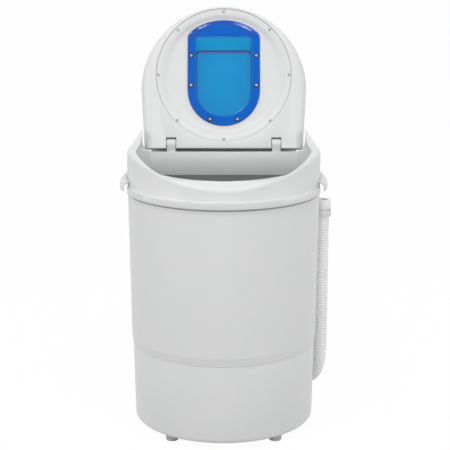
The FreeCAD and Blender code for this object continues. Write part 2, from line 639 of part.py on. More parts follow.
def pulsator():
    bore = "shaft_radius + run_gap"
    rim = "pulsator_radius"
    points = [(bore, "1"), (rim, "1"), (rim, "5"), ("pulsator_radius - 8", "7"), ("30", "10"),
              ("20", "pulsator_height - 3"), ("14", "pulsator_height"), (bore, "pulsator_height")]
    disc = turned("PulsatorDisc", points, ("0", "0", FLOOR_TOP))
    blade = [("16", "5"), ("pulsator_radius - 10", "5"), ("pulsator_radius - 16", "12"), ("18", "20")]
    vanes = []
    for index in range(6):
        spin = Rotation(Vector(0, 0, 1), 60 * index)
        vanes.append(padded("Vane%d" % index, "XZ_Plane", blade, "7", ("0", "0", FLOOR_TOP), spin))
    blank = fuse("PulsatorBlank", [disc] + vanes)
    room = cylinder("PulsatorBore", bore, "pulsator_height - 5 + run_gap", ("0", "0", FLOOR_TOP))
    node(cut("Pulsator", blank, [room]), "pulsator")
    top = (0, 0, floor_top + size("pulsator_height"))
    node(screws("PulsatorScrew", [top], (8.5, 3.0, size("shaft_radius") - 0.5, 4.8)), "pulsator_screw")


def side_prism(points, half):
    # A prism along X over corners given as (y, z).
    corners = [Vector(-half, y, z) for y, z in points]
    return Part.Face(Part.makePolygon(corners + corners[:1])).extrude(Vector(2 * half, 0, 0))


def above_rim(drop):
    # Everything above the rim: a scooped front, level sides and a rise to the rear deck.
    radius, side = size("cover_radius"), size("rim_side") - drop
    level, rise, deck = size("rim_level_from"), size("rim_rise_from"), size("deck_front")
    run, fall = level + radius, size("rim_side") - size("rim_front")
    scoop = (run * run + fall * fall) / (2 * fall)
    front = -radius - size("rim_round")

    def scoop_point(y):
        return Vector(-REACH, y, side - scoop + math.sqrt(scoop * scoop - (y - level) ** 2))

    span, climb = deck - rise, size("deck_height") - size("rim_side")
    bend = (span * span + climb * climb) / (4 * climb)
    turn = math.asin(span / 2 / bend) / 2
    shift, lift = bend * math.sin(turn), bend * (1 - math.cos(turn))
    top = side + climb
    corners = [scoop_point(front), Vector(-REACH, level, side), Vector(-REACH, rise, side),
               Vector(-REACH, (rise + deck) / 2, side + climb / 2), Vector(-REACH, deck, top),
               Vector(-REACH, REACH, top), Vector(-REACH, REACH, SKY), Vector(-REACH, front, SKY)]
    edges = [Part.Arc(corners[0], scoop_point((front + level) / 2), corners[1]),
             Part.LineSegment(corners[1], corners[2]),
             Part.Arc(corners[2], Vector(-REACH, rise + shift, side + lift), corners[3]),
             Part.Arc(corners[3], Vector(-REACH, deck - shift, top - lift), corners[4]),
             Part.LineSegment(corners[4], corners[5]), Part.LineSegment(corners[5], corners[6]),
             Part.LineSegment(corners[6], corners[7]), Part.LineSegment(corners[7], corners[0])]
    wire = Part.Wire([edge.toShape() for edge in edges])
    return Part.Face(wire).extrude(Vector(2 * REACH, 0, 0))


# Far limits of cutting tools, well outside the machine.
REACH = 2 * size("cover_radius")
SKY = 2 * size("deck_height")


def lid_wire(half, radius, reach, tail, height):
    # The lid's outline from its rear edge round to its front, hinge axis at the origin.
    centre = -(reach - radius)
    rise = tail - centre
    tangent = math.atan2(rise, half) - math.acos(min(1.0, radius / math.hypot(half, rise)))

    def on_arc(angle, side):
        return Vector(side * radius * math.cos(angle), centre + radius * math.sin(angle), height)

    middle = (tangent - math.pi / 2) / 2
    right, left = Vector(half, tail, height), Vector(-half, tail, height)
    tip = Vector(0, -reach, height)
    edges = [Part.LineSegment(left, right), Part.LineSegment(right, on_arc(tangent, 1)),
             Part.Arc(on_arc(tangent, 1), on_arc(middle, 1), tip),
             Part.Arc(tip, on_arc(middle, -1), on_arc(tangent, -1)),
             Part.LineSegment(on_arc(tangent, -1), left)]
    return Part.Wire([edge.toShape() for edge in edges])


def under_section(height, offset, lowered=0.0):
    # Section of the lid's rounded lower half at a height, grown by an offset.
    depth = size("lid_under") + size("lid_split")
    share = min(1.0, max(0.0, (height + lowered + size("lid_under")) / depth))
    spread = math.sqrt(1 - (1 - share) ** 2)

    def between(low, high):
        return low + (high - low) * spread

    return lid_wire(between(size("lid_flat_half"), size("lid_half_width")) + offset,
                    between(size("lid_flat_half"), size("lid_radius")) + offset,
                    between(size("lid_flat_reach"), size("lid_reach")) + offset,
                    size("lid_tail") + offset, height)


def top_section(height, offset):
    # Section of the lid's outer half, whose edge rounds over to the outer face.
    depth = size("lid_top") - size("lid_split")
    share = min(1.0, max(0.0, (height - size("lid_split")) / depth))
    inset = size("lid_top_inset") * (1 - math.sqrt(1 - share * share)) - offset
    return lid_wire(size("lid_half_width") - inset, size("lid_radius") - inset,
                    size("lid_reach") - inset, size("lid_tail") - inset * LID_TAIL_SHARE, height)


# The lid's rear edge keeps most of its depth while the other edges round over.
LID_TAIL_SHARE = 0.35


def steps(low, high, count):
    return [low + (high - low) * index / (count - 1) for index in range(count)]


def arc_steps(low, high, count):
    # Heights that crowd towards the low end, where a round starts.
    shares = [1 - math.cos(math.pi / 2 * index / (count - 1)) for index in range(count)]
    return [low + (high - low) * share for share in shares]


def lid_envelope(offset, lowered):
    # The shut lid's lower half with room round it, carried on upwards.
    low, high = -size("lid_under") - lowered, size("lid_split") - lowered
    skirt = Part.makeLoft([under_section(z, offset, lowered) for z in arc_steps(low, high, 5)], True, True)
    crown = Part.Face(under_section(high, offset, lowered)).extrude(Vector(0, 0, size("deck_height")))
    room = skirt.fuse(crown)
    room.Placement = Placement(Vector(0, size("hinge_y"), size("hinge_z")),
                               Rotation(Vector(1, 0, 0), size("lid_drop")))
    return room


def hinge_well(offset):
    # The well behind the wall under the hinge; its rear wall stops the open lid.
    chord, wall = size("chord_y"), size("wall")
    floor, top = size("well_floor") - offset, size("chord_top") - offset
    lean = math.radians(size("lid_lean"))
    rear, deck = size("well_rear") + offset, size("deck_height")
    lip = size("hinge_y") + (deck - size("hinge_z")) * math.tan(lean) + size("lid_top") / math.cos(lean)
    lip += size("fit_gap") + offset
    points = [(chord, top), (chord + wall - offset, top), (chord + wall - offset, floor), (rear, floor),
              (lip, deck), (lip, SKY), (chord, SKY)]
    return side_prism(points, size("well_half_width") + offset)


def mouth(offset, low):
    round_part = Part.makeCylinder(size("mouth_radius") + offset, SKY, Vector(0, 0, low))
    front = Part.makeBox(2 * REACH, REACH, SKY, Vector(-REACH, size("chord_y") + offset - REACH, low))
    return round_part.common(front)


def top_cover():
    wall, low, radius = size("wall"), size("band_low"), size("cover_radius")
    tub_top, mouth_low = size("tub_top"), size("mouth_low")
    tall = size("deck_height") + size("rim_round") - low
    blank = Part.makeCylinder(radius, tall, Vector(0, 0, low)).cut(above_rim(0.0))
    rim = []
    for edge in blank.Edges:
        middle = edge.valueAt((edge.FirstParameter + edge.LastParameter) / 2)
        upright = edge.BoundBox.XLength < 1e-6 and edge.BoundBox.YLength < 1e-6
        if abs(math.hypot(middle.x, middle.y) - radius) < 0.01 and middle.z > low + 1 and not upright:
            rim.append(edge)
    blank = blank.makeFillet(size("rim_round"), rim)
    band = Part.makeCylinder(size("band_radius"), size("band_top") - low, Vector(0, 0, low))
    edges = [edge for edge in band.Edges if edge.Closed and edge.BoundBox.ZMin > low + 1]
    blank = blank.fuse(band.makeFillet(BAND_ROUND, edges))
    hollow = Part.makeCylinder(radius - wall, tall, Vector(0, 0, mouth_low))
    hollow = hollow.cut(above_rim(size("deck_thickness"))).cut(mouth(wall, 0.0)).cut(hinge_well(wall))
    hollow = hollow.cut(lid_envelope(size("seat_gap") + wall, size("seat_gap") + wall))
    throat = Part.makeCylinder(radius - wall, mouth_low - low, Vector(0, 0, low))
    socket = Part.makeCylinder(size("tub_top_radius") + size("fit_gap"), tub_top - low, Vector(0, 0, low))
    shell = blank.cut(mouth(0.0, 0.0)).cut(hinge_well(0.0))
    shell = shell.cut(lid_envelope(size("seat_gap"), size("fit_gap")))
    shell = shell.cut(hollow).cut(throat).cut(socket)
    for heading in GRIP_HEADINGS.values():
        shell = shell.cut(finger_room(heading))
    panel_room = panel_shape(size("fit_gap"))
    shell = shell.cut(panel_room).cut(control_holes())
    node(solid("TopCover", shell.removeSplitter()), "top_cover")


def finger_room(heading):
    # The band is left out behind each grip, so that fingers can reach up under its lip.
    low, tub_top = size("band_low"), size("tub_top")
    outside, wide = size("band_radius") + 1, grip_spread() - 2 * NOTCH_END
    tall = size("band_top") + 1 - low
    room = Part.makeCylinder(outside, tall, Vector(0, 0, low), Vector(0, 0, 1), 2 * wide)
    core = Part.makeCylinder(size("tub_top_radius"), tub_top - low, Vector(0, 0, low))
    core = core.fuse(Part.makeCylinder(size("cover_radius"), tall, Vector(0, 0, tub_top)))
    room.rotate(Vector(), Vector(0, 0, 1), heading - wide)
    return room.cut(core)


def grip_spread():
    # Half the angle that a grip takes round the cover.
    return math.degrees(math.asin(size("grip_half_length") / size("cover_radius")))


GRIP_HEADINGS = {"right_grip": 0.0, "left_grip": 180.0}
NOTCH_END = 0.8
BAND_ROUND = 2.0
SPINDLE_ROOM = 1.5
HUB_GAP = 0.5


def knob_spot(side, rise):
    return Vector(side * size("knob_x"), size("knob_y"), size("deck_height") + rise)


def panel_screw_spots():
    x = size("knob_x") + size("knob_radius") + 14
    y = (size("panel_front") + math.sqrt(size("panel_radius") ** 2 - x * x)) / 2
    return [(side * x, y, size("deck_height")) for side in (-1, 1)]


def control_holes():
    # Holes through the panel and the deck for both spindles and the panel screws.
    room = size("spindle_radius") + SPINDLE_ROOM
    deep = 2 * size("deck_thickness")
    holes = [Part.makeCylinder(room, 2 * deep, knob_spot(side, -deep)) for side in (-1, 1)]
    holes += [Part.makeCylinder(SCREW_HOLE, deep, Vector(x, y, z - deep)) for x, y, z in panel_screw_spots()]
    return Part.makeCompound(holes)


def panel_shape(offset):
    thick = size("panel_thickness")
    low = size("deck_height") - thick
    disc = Part.makeCylinder(size("panel_radius") + offset, thick, Vector(0, 0, low))
    rear = Part.makeBox(2 * REACH, REACH, thick, Vector(-REACH, size("panel_front") - offset, low))
    return disc.common(rear)


def controls():
    plate = panel_shape(0.0)
    node(solid("ControlPanel", plate.cut(control_holes())), "control_panel")
    length = size("deck_thickness")
    node(screws("PanelScrews", panel_screw_spots(), (2.8, 1.4, SCREW_RADIUS, length)), "panel_screws")
    under = "deck_height - deck_thickness"
    for side, name in ((1, "timer"), (-1, "selector")):
        x = "%d * knob_x" % side
        title = name.capitalize()
        spindle_low = under + " - 10"
        rod = cylinder(title + "Spindle", "spindle_radius", "deck_thickness + knob_height + 6",
                       (x, "knob_y", spindle_low))
        node(rod, name + "_spindle")
        case = box(title + "Case", "32", "26", "32", (x + " - 16", "knob_y - 14", under + " - 32"))
        room = cylinder(title + "Bore", "spindle_radius + run_gap", "11", (x, "knob_y", under + " - 11"))
        node(cut(title + "Unit", case, [room]), "timer_mechanism" if side > 0 else "selector_switch")
        grip = turned(title + "Grip", [("0", "0"), ("knob_radius", "0"), ("knob_radius", "3"),
                                       ("knob_radius - 3", "4"), ("knob_radius - 4", "knob_height - 1"),
                                       ("knob_radius - 5", "knob_height"), ("0", "knob_height")],
                      (x, "knob_y", "deck_height + " + str(HUB_GAP)))
        ridge = box(title + "Ridge", "4", "2 * knob_radius - 7", "knob_height - 1",
                    (x + " - 2", "knob_y - knob_radius + 3.5", "deck_height + 2 + " + str(HUB_GAP)))
        hole = cylinder(title + "Socket", "spindle_radius + run_gap", "knob_height - 3",
                        (x, "knob_y", "deck_height"))
        node(cut(title + "Knob", fuse(title + "Blank", [grip, ridge]), [hole]), name + "_knob")


def grips():
    # Hooked lips that curve round the cover above the band, open below for the fingers.
    wall = size("cover_radius") + size("run_gap")
    reach, low, top = size("grip_reach"), size("grip_low"), size("grip_top")
    thick = size("wall")
    section = [(wall, top - 1), (wall + 6, top), (reach - 4, top - 3), (reach - 1, top - 7),
               (reach, top - 12), (reach, low + 1), (reach - 1, low), (reach - thick, low),
               (reach - thick, top - 10), (wall + 4, top - thick - 2), (wall, top - thick - 2)]
    corners = [Vector(r, 0, z) for r, z in section]
    face = Part.Face(Part.makePolygon(corners + corners[:1]))
    spread = grip_spread()
    for name, heading in GRIP_HEADINGS.items():
        start = face.copy()
        start.rotate(Vector(), Vector(0, 0, 1), heading - spread)
        lip = start.revolve(Vector(), Vector(0, 0, 1), 2 * spread)
        node(solid(name.title().replace("_", ""), lip), name)


LID_OPEN = Placement(Vector(0, size("hinge_y"), size("hinge_z")),
                     Rotation(Vector(1, 0, 0), -90 - size("lid_lean")))


def lid_node(name, label, shape):
    # Lid pieces are drawn about the hinge axis, lid level, then stood open.
    piece = solid(name, shape)
    piece.Placement = LID_OPEN
    return node(piece, label)


def hinge_parts():
    half, barrel = size("knuckle_width") / 2, size("knuckle_radius")
    axis_y, axis_z = size("hinge_y"), size("hinge_z")
    floor = size("well_floor")
    front = size("chord_y") + size("wall")
    pins = []
    for label, side in (("hinge_bracket_left", -1), ("hinge_bracket_right", 1)):
        x = side * size("knuckle_x") - half
        lug = Part.makeCylinder(barrel, 2 * half, Vector(x, axis_y, axis_z), Vector(1, 0, 0))
        arm = Part.makeBox(2 * half, axis_y - front, axis_z - floor, Vector(x, front, floor))
        foot = Part.makeBox(2 * half, axis_y - front + 12, 3, Vector(x, front, floor))
        hole = Part.makeCylinder(size("pin_radius") + size("run_gap"), 2 * half, Vector(x, axis_y, axis_z),
                                 Vector(1, 0, 0))
        shape = lug.fuse(arm).fuse(foot).cut(hole).removeSplitter()
        node(solid(label.title().replace("_", ""), shape), label)
        length = size("knuckle_width") + 2 * (size("knuckle_gap") + size("ear_width"))
        start = Vector(side * size("knuckle_x") - length / 2, axis_y, axis_z)
        pins.append(Part.makeCylinder(size("pin_radius"), length, start, Vector(1, 0, 0)))
    node(solid("HingePins", Part.makeCompound(pins)), "hinge_pins")


def disc_screw_spots():
    return ring_places(8, size("disc_screw_circle"), 0.0, 90.0, (0.0, -size("disc_y")))


def lid_frame():
    under, split, wall, tail = size("lid_under"), size("lid_split"), size("wall"), size("lid_tail")
    floor = -under + FRAME_FLOOR
    frame = Part.makeLoft([under_section(z, 0.0) for z in arc_steps(-under, split, 6)], True, False)
    hollow = Part.makeLoft([under_section(z, -wall) for z in steps(floor, split + 1, 5)], True, True)
    frame = frame.cut(hollow)
    half = size("knuckle_width") / 2 + size("knuckle_gap")
    ear = half + size("ear_width")
    notch_end = -size("knuckle_radius") - size("knuckle_gap")
    for side in (-1, 1):
        x = side * size("knuckle_x")
        block = Part.makeBox(2 * ear, tail - notch_end + 2, split + under - 2,
                             Vector(x - ear, notch_end - 2, 2 - under))
        frame = frame.fuse(block)
        notch = Part.makeBox(2 * half, tail - notch_end + 1, 2 * under + 2 * split,
                             Vector(x - half, notch_end, -2 * under))
        hole = Part.makeCylinder(size("pin_radius") + size("run_gap"), 2 * ear, Vector(x - ear, 0, 0),
                                 Vector(1, 0, 0))
        frame = frame.cut(notch).cut(hole)
    centre = Vector(0, -size("disc_y"), -under)
    thick, gap = size("disc_thickness"), size("fit_gap")
    seat = Part.makeCylinder(size("disc_radius") + gap, size("disc_step") + thick, centre)
    opening = Part.makeCylinder(size("dish_radius") + thick + gap, under + split, centre)
    holes = [Part.makeCylinder(SCREW_HOLE, under, Vector(x, y, -under)) for x, y, z in disc_screw_spots()]
    frame = frame.cut(seat).cut(opening).cut(Part.makeCompound(holes))
    lid_node("LidFrame", "lid_frame", frame.removeSplitter())


FRAME_FLOOR = 6.0


def shield(half, top, shoulder, centre, low, high):
    # The window's outline: an arched far end, straight sides and a round near end.
    def at(x, y):
        return Vector(x, -y, low)

    near = centre - half
    slant = half * math.sqrt(0.5)
    edges = [Part.Arc(at(-half, shoulder), at(0, top), at(half, shoulder)),
             Part.LineSegment(at(half, shoulder), at(half, centre)),
             Part.Arc(at(half, centre), at(slant, centre - slant), at(0, near)),
             Part.Arc(at(0, near), at(-slant, centre - slant), at(-half, centre)),
             Part.LineSegment(at(-half, centre), at(-half, shoulder))]
    wire = Part.Wire([edge.toShape() for edge in edges])
    return Part.Face(wire).extrude(Vector(0, 0, high - low))


def pane_wire(offset, top, height):
    # The raised pane's outline: a straight far end, straight sides and a round near end.
    half, centre = size("pane_half") + offset, size("pane_round_y")
    far = top + offset
    slant = half * math.sqrt(0.5)

    def at(x, y):
        return Vector(x, -y, height)

    edges = [Part.LineSegment(at(-half, far), at(half, far)),
             Part.LineSegment(at(half, far), at(half, centre)),
             Part.Arc(at(half, centre), at(slant, centre - slant), at(0, centre - half)),
             Part.Arc(at(0, centre - half), at(-slant, centre - slant), at(-half, centre)),
             Part.LineSegment(at(-half, centre), at(-half, far))]
    return Part.Wire([edge.toShape() for edge in edges])


def pane_box(offset, low, high):
    # The pane's raised box, whose far end slopes; offset grows it all round.
    base = dish_floor() - size("window_thickness")
    crown = pane_top() - size("window_thickness")
    far, slope = size("pane_top_y"), size("pane_slope")

    def far_at(z):
        return far - slope * (z - base) / (crown - base)

    return Part.makeLoft([pane_wire(offset, far_at(z), z) for z in (low, high)], True, True)


def dish_floor():
    return -size("lid_under") + size("disc_step") + size("dish_depth")


def pane_top():
    return size("lid_top") - 1.5


def window_screw_spots():
    side = (size("window_half") + size("pane_half") + size("window_thickness")) / 2 - 0.4
    middle = (size("window_shoulder_y") + size("window_round_y")) / 2 + 11
    near = size("window_round_y") - side * math.cos(math.radians(24.8))
    lean = side * math.sin(math.radians(24.8))
    spots = [(side, middle), (side, size("window_round_y") + 9), (lean, near)]
    return [(sign * x, -y) for x, y in spots for sign in (-1, 1)]


def splash_disc():
    face = -size("lid_under") + size("disc_step")
    thick, dish, rim = size("disc_thickness"), size("dish_radius"), size("disc_radius")
    floor = dish_floor()
    foot = dish - size("dish_draft")
    section = [(0, floor), (foot, floor), (dish, face), (rim, face), (rim, face + thick),
               (dish + thick, face + thick), (foot + thick, floor + thick), (0, floor + thick)]
    corners = [Vector(r, 0, z) for r, z in section]
    disc = Part.Face(Part.makePolygon(corners + corners[:1])).revolve(Vector(), Vector(0, 0, 1), 360)
    disc.translate(Vector(0, -size("disc_y"), 0))
    room = pane_box(size("window_thickness") + size("fit_gap"), floor - 1, floor + thick + 1)
    holes = [Part.makeCylinder(SCREW_HOLE, 30, Vector(x, y, -20)) for x, y, z in disc_screw_spots()]
    holes += [Part.makeCylinder(SCREW_HOLE, 30, Vector(x, y, -20)) for x, y in window_screw_spots()]
    lid_node("SplashDisc", "splash_disc", disc.cut(room).cut(Part.makeCompound(holes)))
    flipped = Rotation(Vector(1, 0, 0), 180)
    spots = [(x, y, face) for x, y, z in disc_screw_spots()]
    fixings = screws("DiscScrews", spots, (2.9, 1.3, SCREW_RADIUS, thick + 2), flipped)
    fixings.Placement = LID_OPEN
    node(fixings, "disc_screws")


def lid_window():
    floor, thick = dish_floor(), size("window_thickness")
    flange = shield(size("window_half"), size("window_top_y"), size("window_shoulder_y"),
                    size("window_round_y"), floor - thick, floor)
    raised = pane_box(thick, floor, pane_top())
    hollow = pane_box(0.0, floor - thick - 0.5, pane_top() - thick)
    holes = [Part.makeCylinder(SCREW_HOLE, 30, Vector(x, y, -20)) for x, y in window_screw_spots()]
    window = flange.fuse(raised).cut(hollow).cut(Part.makeCompound(holes))
    lid_node("LidWindow", "lid_window", window.removeSplitter())
    flipped = Rotation(Vector(1, 0, 0), 180)
    spots = [(x, y, floor - thick) for x, y in window_screw_spots()]
    fixings = screws("WindowScrews", spots, (2.6, 1.2, SCREW_RADIUS, thick + size("disc_thickness")), flipped)
    fixings.Placement = LID_OPEN
    node(fixings, "window_screws")


def lid_shell():
    split, top, thick = size("lid_split"), size("lid_top"), size("wall") - 0.5
    rises = [split + (top - split) * math.sin(math.pi / 2 * index / 4) for index in range(5)]
    cap = Part.makeLoft([top_section(z, 0.0) for z in rises], True, False)
    hollow = Part.makeLoft([top_section(z, -thick) for z in steps(split - 1, top - thick, 5)], True, True)
    room = pane_box(size("window_thickness") + size("fit_gap"), split, top + 2)
    lid_node("LidShell", "lid_shell", cap.cut(hollow).cut(room))


# The drain hose's route from the outlet up to its end cuff.
HOSE_ROUTE = [(93.2, 158.15, 30.0), (131.0, 142.11, 30.0), (156.5, 115.0, 35.5), (170.5, 86.5, 56.0),
              (176.8, 67.0, 91.0), (176.8, 56.0, 152.0), (176.5, 50.0, 258.0), (176.5, 50.0, 362.0)]


class Route:
    # Straight runs joined by tangent arcs, each as large as its two runs allow.
    def __init__(self, points):
        corners = [Vector(*point) for point in points]
        self.pieces = []
        self.radii = []
        start = corners[0]
        for before, corner, after in zip(corners, corners[1:], corners[2:]):
            arrive, leave = (corner - before).normalize(), (after - corner).normalize()
            turn = arrive.getAngle(leave)
            trim = 0.45 * min(corner.distanceToPoint(before), corner.distanceToPoint(after))
            radius = trim / math.tan(turn / 2)
            first = corner - arrive * trim
            centre = first + (leave - arrive * math.cos(turn)).normalize() * radius
            self.pieces.append(("run", start, arrive, start.distanceToPoint(first)))
            self.pieces.append(("arc", centre, first - centre, arrive, turn * radius))
            self.radii.append(radius)
            start = corner + leave * trim
        last = (corners[-1] - start).normalize()
        self.pieces.append(("run", start, last, start.distanceToPoint(corners[-1])))
        self.length = sum(piece[-1] for piece in self.pieces)

    def at(self, distance):
        # Point and direction at a distance along the route.
        for piece in self.pieces:
            if distance <= piece[-1] or piece is self.pieces[-1]:
                break
            distance -= piece[-1]
        if piece[0] == "run":
            return piece[1] + piece[2] * distance, piece[2]
        arm, along = piece[2], piece[3]
        angle = distance / arm.Length
        outward = Vector(arm).normalize()
        point = piece[1] + arm * math.cos(angle) + along * (arm.Length * math.sin(angle))
        return point, along * math.cos(angle) - outward * math.sin(angle)


def drain_hose():
    route = Route(HOSE_ROUTE)
    print("hose radii", [round(radius, 1) for radius in route.radii], "length", round(route.length, 1))
    pitch = size("rib_pitch")
    crest, root, bore = size("hose_radius"), size("hose_root_radius"), size("hose_bore")
    plain = 2 * crest
    count = int((route.length - 2 * plain) / pitch)
    start = (route.length - count * pitch) / 2
    steady = polar(1.0, size("drain_angle"), 0)

    def ring(distance, radius):
        point, along = route.at(distance)
        across = (steady - along * steady.dot(along)).normalize()
        axes = FreeCAD.Matrix(across.x, along.cross(across).x, along.x, point.x,
                              across.y, along.cross(across).y, along.y, point.y,
                              across.z, along.cross(across).z, along.z, point.z, 0, 0, 0, 1)
        circle = Part.makeCircle(radius)
        circle.Placement = Placement(axes)
        return Part.Wire([circle])

    shares = ((0.0, root), (0.2, crest), (0.6, crest), (0.8, root))
    smooth = size("hose_plain_radius")
    stations = [(0.0, smooth), (start - pitch / 2, smooth)]
    for index in range(count):
        stations += [(start + (index + share) * pitch, radius) for share, radius in shares]
    end = start + count * pitch
    stations += [(end, root), (end + pitch / 2, smooth), (route.length, smooth)]
    outer = Part.makeLoft([ring(*station) for station in stations], True, True)
    inner = Part.makeLoft([ring(distance, bore) for distance, radius in stations], True, True)
    hose = outer.cut(inner)
    section = 0.0
    for (here, first), (there, second) in zip(stations, stations[1:]):
        slab = math.pi * (first * first + first * second + second * second) / 3 - math.pi * bore * bore
        section += slab * (there - here)
    print("hose volume", round(hose.Volume), "section times length", round(section), "ribs", count)
    node(solid("DrainHose", hose), "drain_hose")
    return route


CLAMP_WIDTH = 9.0
CLAMP_THICKNESS = 2.0


def hose_parts():
    route = drain_hose()
    end = Vector(*HOSE_ROUTE[-1])
    at = tuple(end)
    cuff = turned("HoseCuff", [("hose_bore", "0"), ("cuff_radius - 1.2", "0"), ("cuff_radius - 1.2", "14"),
                               ("cuff_radius", "15.2"), ("cuff_radius", "cuff_length - 1"),
                               ("cuff_radius - 1", "cuff_length"), ("hose_bore", "cuff_length")], at)
    node(cuff, "hose_cuff")
    point, along = route.at(6.0)
    hold = size("hose_plain_radius") + size("run_gap")
    band = Part.makeCylinder(hold + CLAMP_THICKNESS, CLAMP_WIDTH, point, along)
    band = band.cut(Part.makeCylinder(hold, CLAMP_WIDTH, point, along))
    lug = Part.makeBox(8, CLAMP_WIDTH, 5, Vector(-4, 0, hold + CLAMP_THICKNESS / 2))
    lug.Placement = Placement(point, Rotation(Vector(0, 1, 0), along))
    node(solid("HoseClamp", band.fuse(lug).removeSplitter()), "hose_clamp")
    hold_z, tall = end.z + 3, 10
    heading = math.degrees(math.atan2(end.y, end.x))
    centre = Vector(end.x, end.y, hold_z)
    ring = Part.makeCylinder(size("cuff_radius") + 2, tall, centre)
    web = Part.makeBox(20, 16, tall, Vector(-20, -8, 0))
    web.Placement = Placement(centre, Rotation(Vector(0, 0, 1), heading))
    gap = Part.makeBox(30, 20, tall, Vector(4, -10, 0))
    gap.Placement = Placement(centre, Rotation(Vector(0, 0, 1), heading))
    clear = Part.makeCylinder(size("cuff_radius") - 1.2 + size("fit_gap"), tall, centre)
    rise = size("tub_top") - size("seam_height")
    tub_high = size("tub_top_radius") + 2 * size("run_gap")
    tub_low = size("tub_bottom_radius") + size("seam_step") + 2 * size("run_gap")
    tub = Part.makeCone(tub_low, tub_high, rise, Vector(0, 0, size("seam_height")))
    clip = ring.fuse(web).cut(gap).cut(clear).cut(tub)
    node(solid("HoseClip", clip.removeSplitter()), "hose_clip")


feet()
bottom_plate()
base_housing()
cord_gland()
wash_tub()
drain_parts()
bearing_parts()
drive_train()
belt()
motor_parts()
capacitor_parts()
pulsator()
top_cover()
controls()
grips()
hinge_parts()
lid_frame()
splash_disc()
lid_window()
lid_shell()
hose_parts()

doc.recompute()
faults = [thing.Name for thing in doc.Objects if "Invalid" in thing.State or "Error" in thing.State]
for piece in NODES:
    if piece.Shape.isNull() or not piece.Shape.isValid() or not piece.Shape.Solids:
        faults.append(piece.Label)
if faults:
    raise RuntimeError("failed pieces: " + ", ".join(faults))
os.makedirs("parts", exist_ok=True)
for piece in NODES:
    piece.Shape.exportStep("parts/%s.step" % piece.Label)
print(len(NODES), "nodes written")
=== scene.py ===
import json
import math

import bmesh
import bpy
from mathutils import Matrix, Vector


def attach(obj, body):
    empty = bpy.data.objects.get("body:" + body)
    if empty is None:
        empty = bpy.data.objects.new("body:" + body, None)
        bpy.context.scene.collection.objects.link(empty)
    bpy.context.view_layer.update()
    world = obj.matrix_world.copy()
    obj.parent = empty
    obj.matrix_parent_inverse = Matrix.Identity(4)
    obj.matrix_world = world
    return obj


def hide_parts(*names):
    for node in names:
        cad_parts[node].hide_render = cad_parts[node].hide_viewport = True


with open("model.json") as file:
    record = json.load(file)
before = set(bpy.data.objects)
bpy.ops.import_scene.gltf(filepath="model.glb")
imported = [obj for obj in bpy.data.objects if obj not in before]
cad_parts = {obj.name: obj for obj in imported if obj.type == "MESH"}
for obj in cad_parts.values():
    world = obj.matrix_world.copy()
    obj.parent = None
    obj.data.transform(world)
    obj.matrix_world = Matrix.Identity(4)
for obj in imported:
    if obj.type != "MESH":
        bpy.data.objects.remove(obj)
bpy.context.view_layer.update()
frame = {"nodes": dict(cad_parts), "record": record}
cadNodes = frame["nodes"]
record = frame["record"]
bodyOfNode = {node: body for body, names in record["behaviour"]["bodies"].items() for node in names}
slotOfNode = {part["node"]: part["material_slot"] for part in record["subparts"]}
mm = 0.001  # sizes below are in millimetres, and in metres where a note says so
scene = bpy.context.scene
print("frame loaded:", len(cadNodes), "nodes")


def placed(name, data):
    thing = bpy.data.objects.new(name, data)
    scene.collection.objects.link(thing)
    return thing


# camera: eye height, tilt and lens of the photograph's view, its place in metres
photoView = {"place": (0.0022, -2.2939, 0.9045), "tilt": 76.59, "lens": 107.7, "sensor": 36.0}
lens = bpy.data.cameras.new("photoLens")
lens.lens = photoView["lens"]
lens.sensor_width = photoView["sensor"]
camera = placed("photoCamera", lens)
camera.location = photoView["place"]
camera.rotation_euler = (math.radians(photoView["tilt"]), 0, 0)
scene.camera = camera
print("camera set")


def linear(hexColour):
    parts = [int(hexColour[i:i + 2], 16) / 255 for i in (1, 3, 5)]  # sRGB hex to linear light
    return tuple(p / 12.92 if p <= 0.04045 else ((p + 0.055) / 1.055) ** 2.4 for p in parts) + (1.0,)


def addNode(tree, kind, settings=None, values=None, links=None):
    node = tree.nodes.new(kind)
    for key, value in (settings or {}).items():
        setattr(node, key, value)
    for socket, value in (values or {}).items():
        node.inputs[socket].default_value = value
    for socket, source in (links or {}).items():
        tree.links.new(source, node.inputs[socket])
    return node


# noise detail of each kind of skin, and the height of its relief in millimetres
skinNoise = {"flow": 3.0, "grain": 2.0, "mark": 4.0, "tint": 2.0, "reliefMm": 0.2}


def newFinish(name):
    finish = bpy.data.materials.new(name)
    finish.use_nodes = True
    tree = finish.node_tree
    return finish, tree, tree.nodes["Principled BSDF"]


def mottled(tree, shader, look, where, patchMm, detail):
    # one noise drives both the colour and the gloss
    noise = addNode(tree, "ShaderNodeTexNoise", values={"Scale": 1000 / patchMm, "Detail": detail},
                    links={"Vector": where}).outputs["Fac"]
    tint = addNode(tree, "ShaderNodeMix", {"data_type": "RGBA"},
                   {6: linear(look["colour"]), 7: linear(look["shade"])}, {0: noise})
    gloss = addNode(tree, "ShaderNodeMapRange", values={3: look["rough"][0], 4: look["rough"][1]},
                    links={0: noise})
    tree.links.new(tint.outputs[2], shader.inputs["Base Color"])
    tree.links.new(gloss.outputs[0], shader.inputs["Roughness"])
    return noise


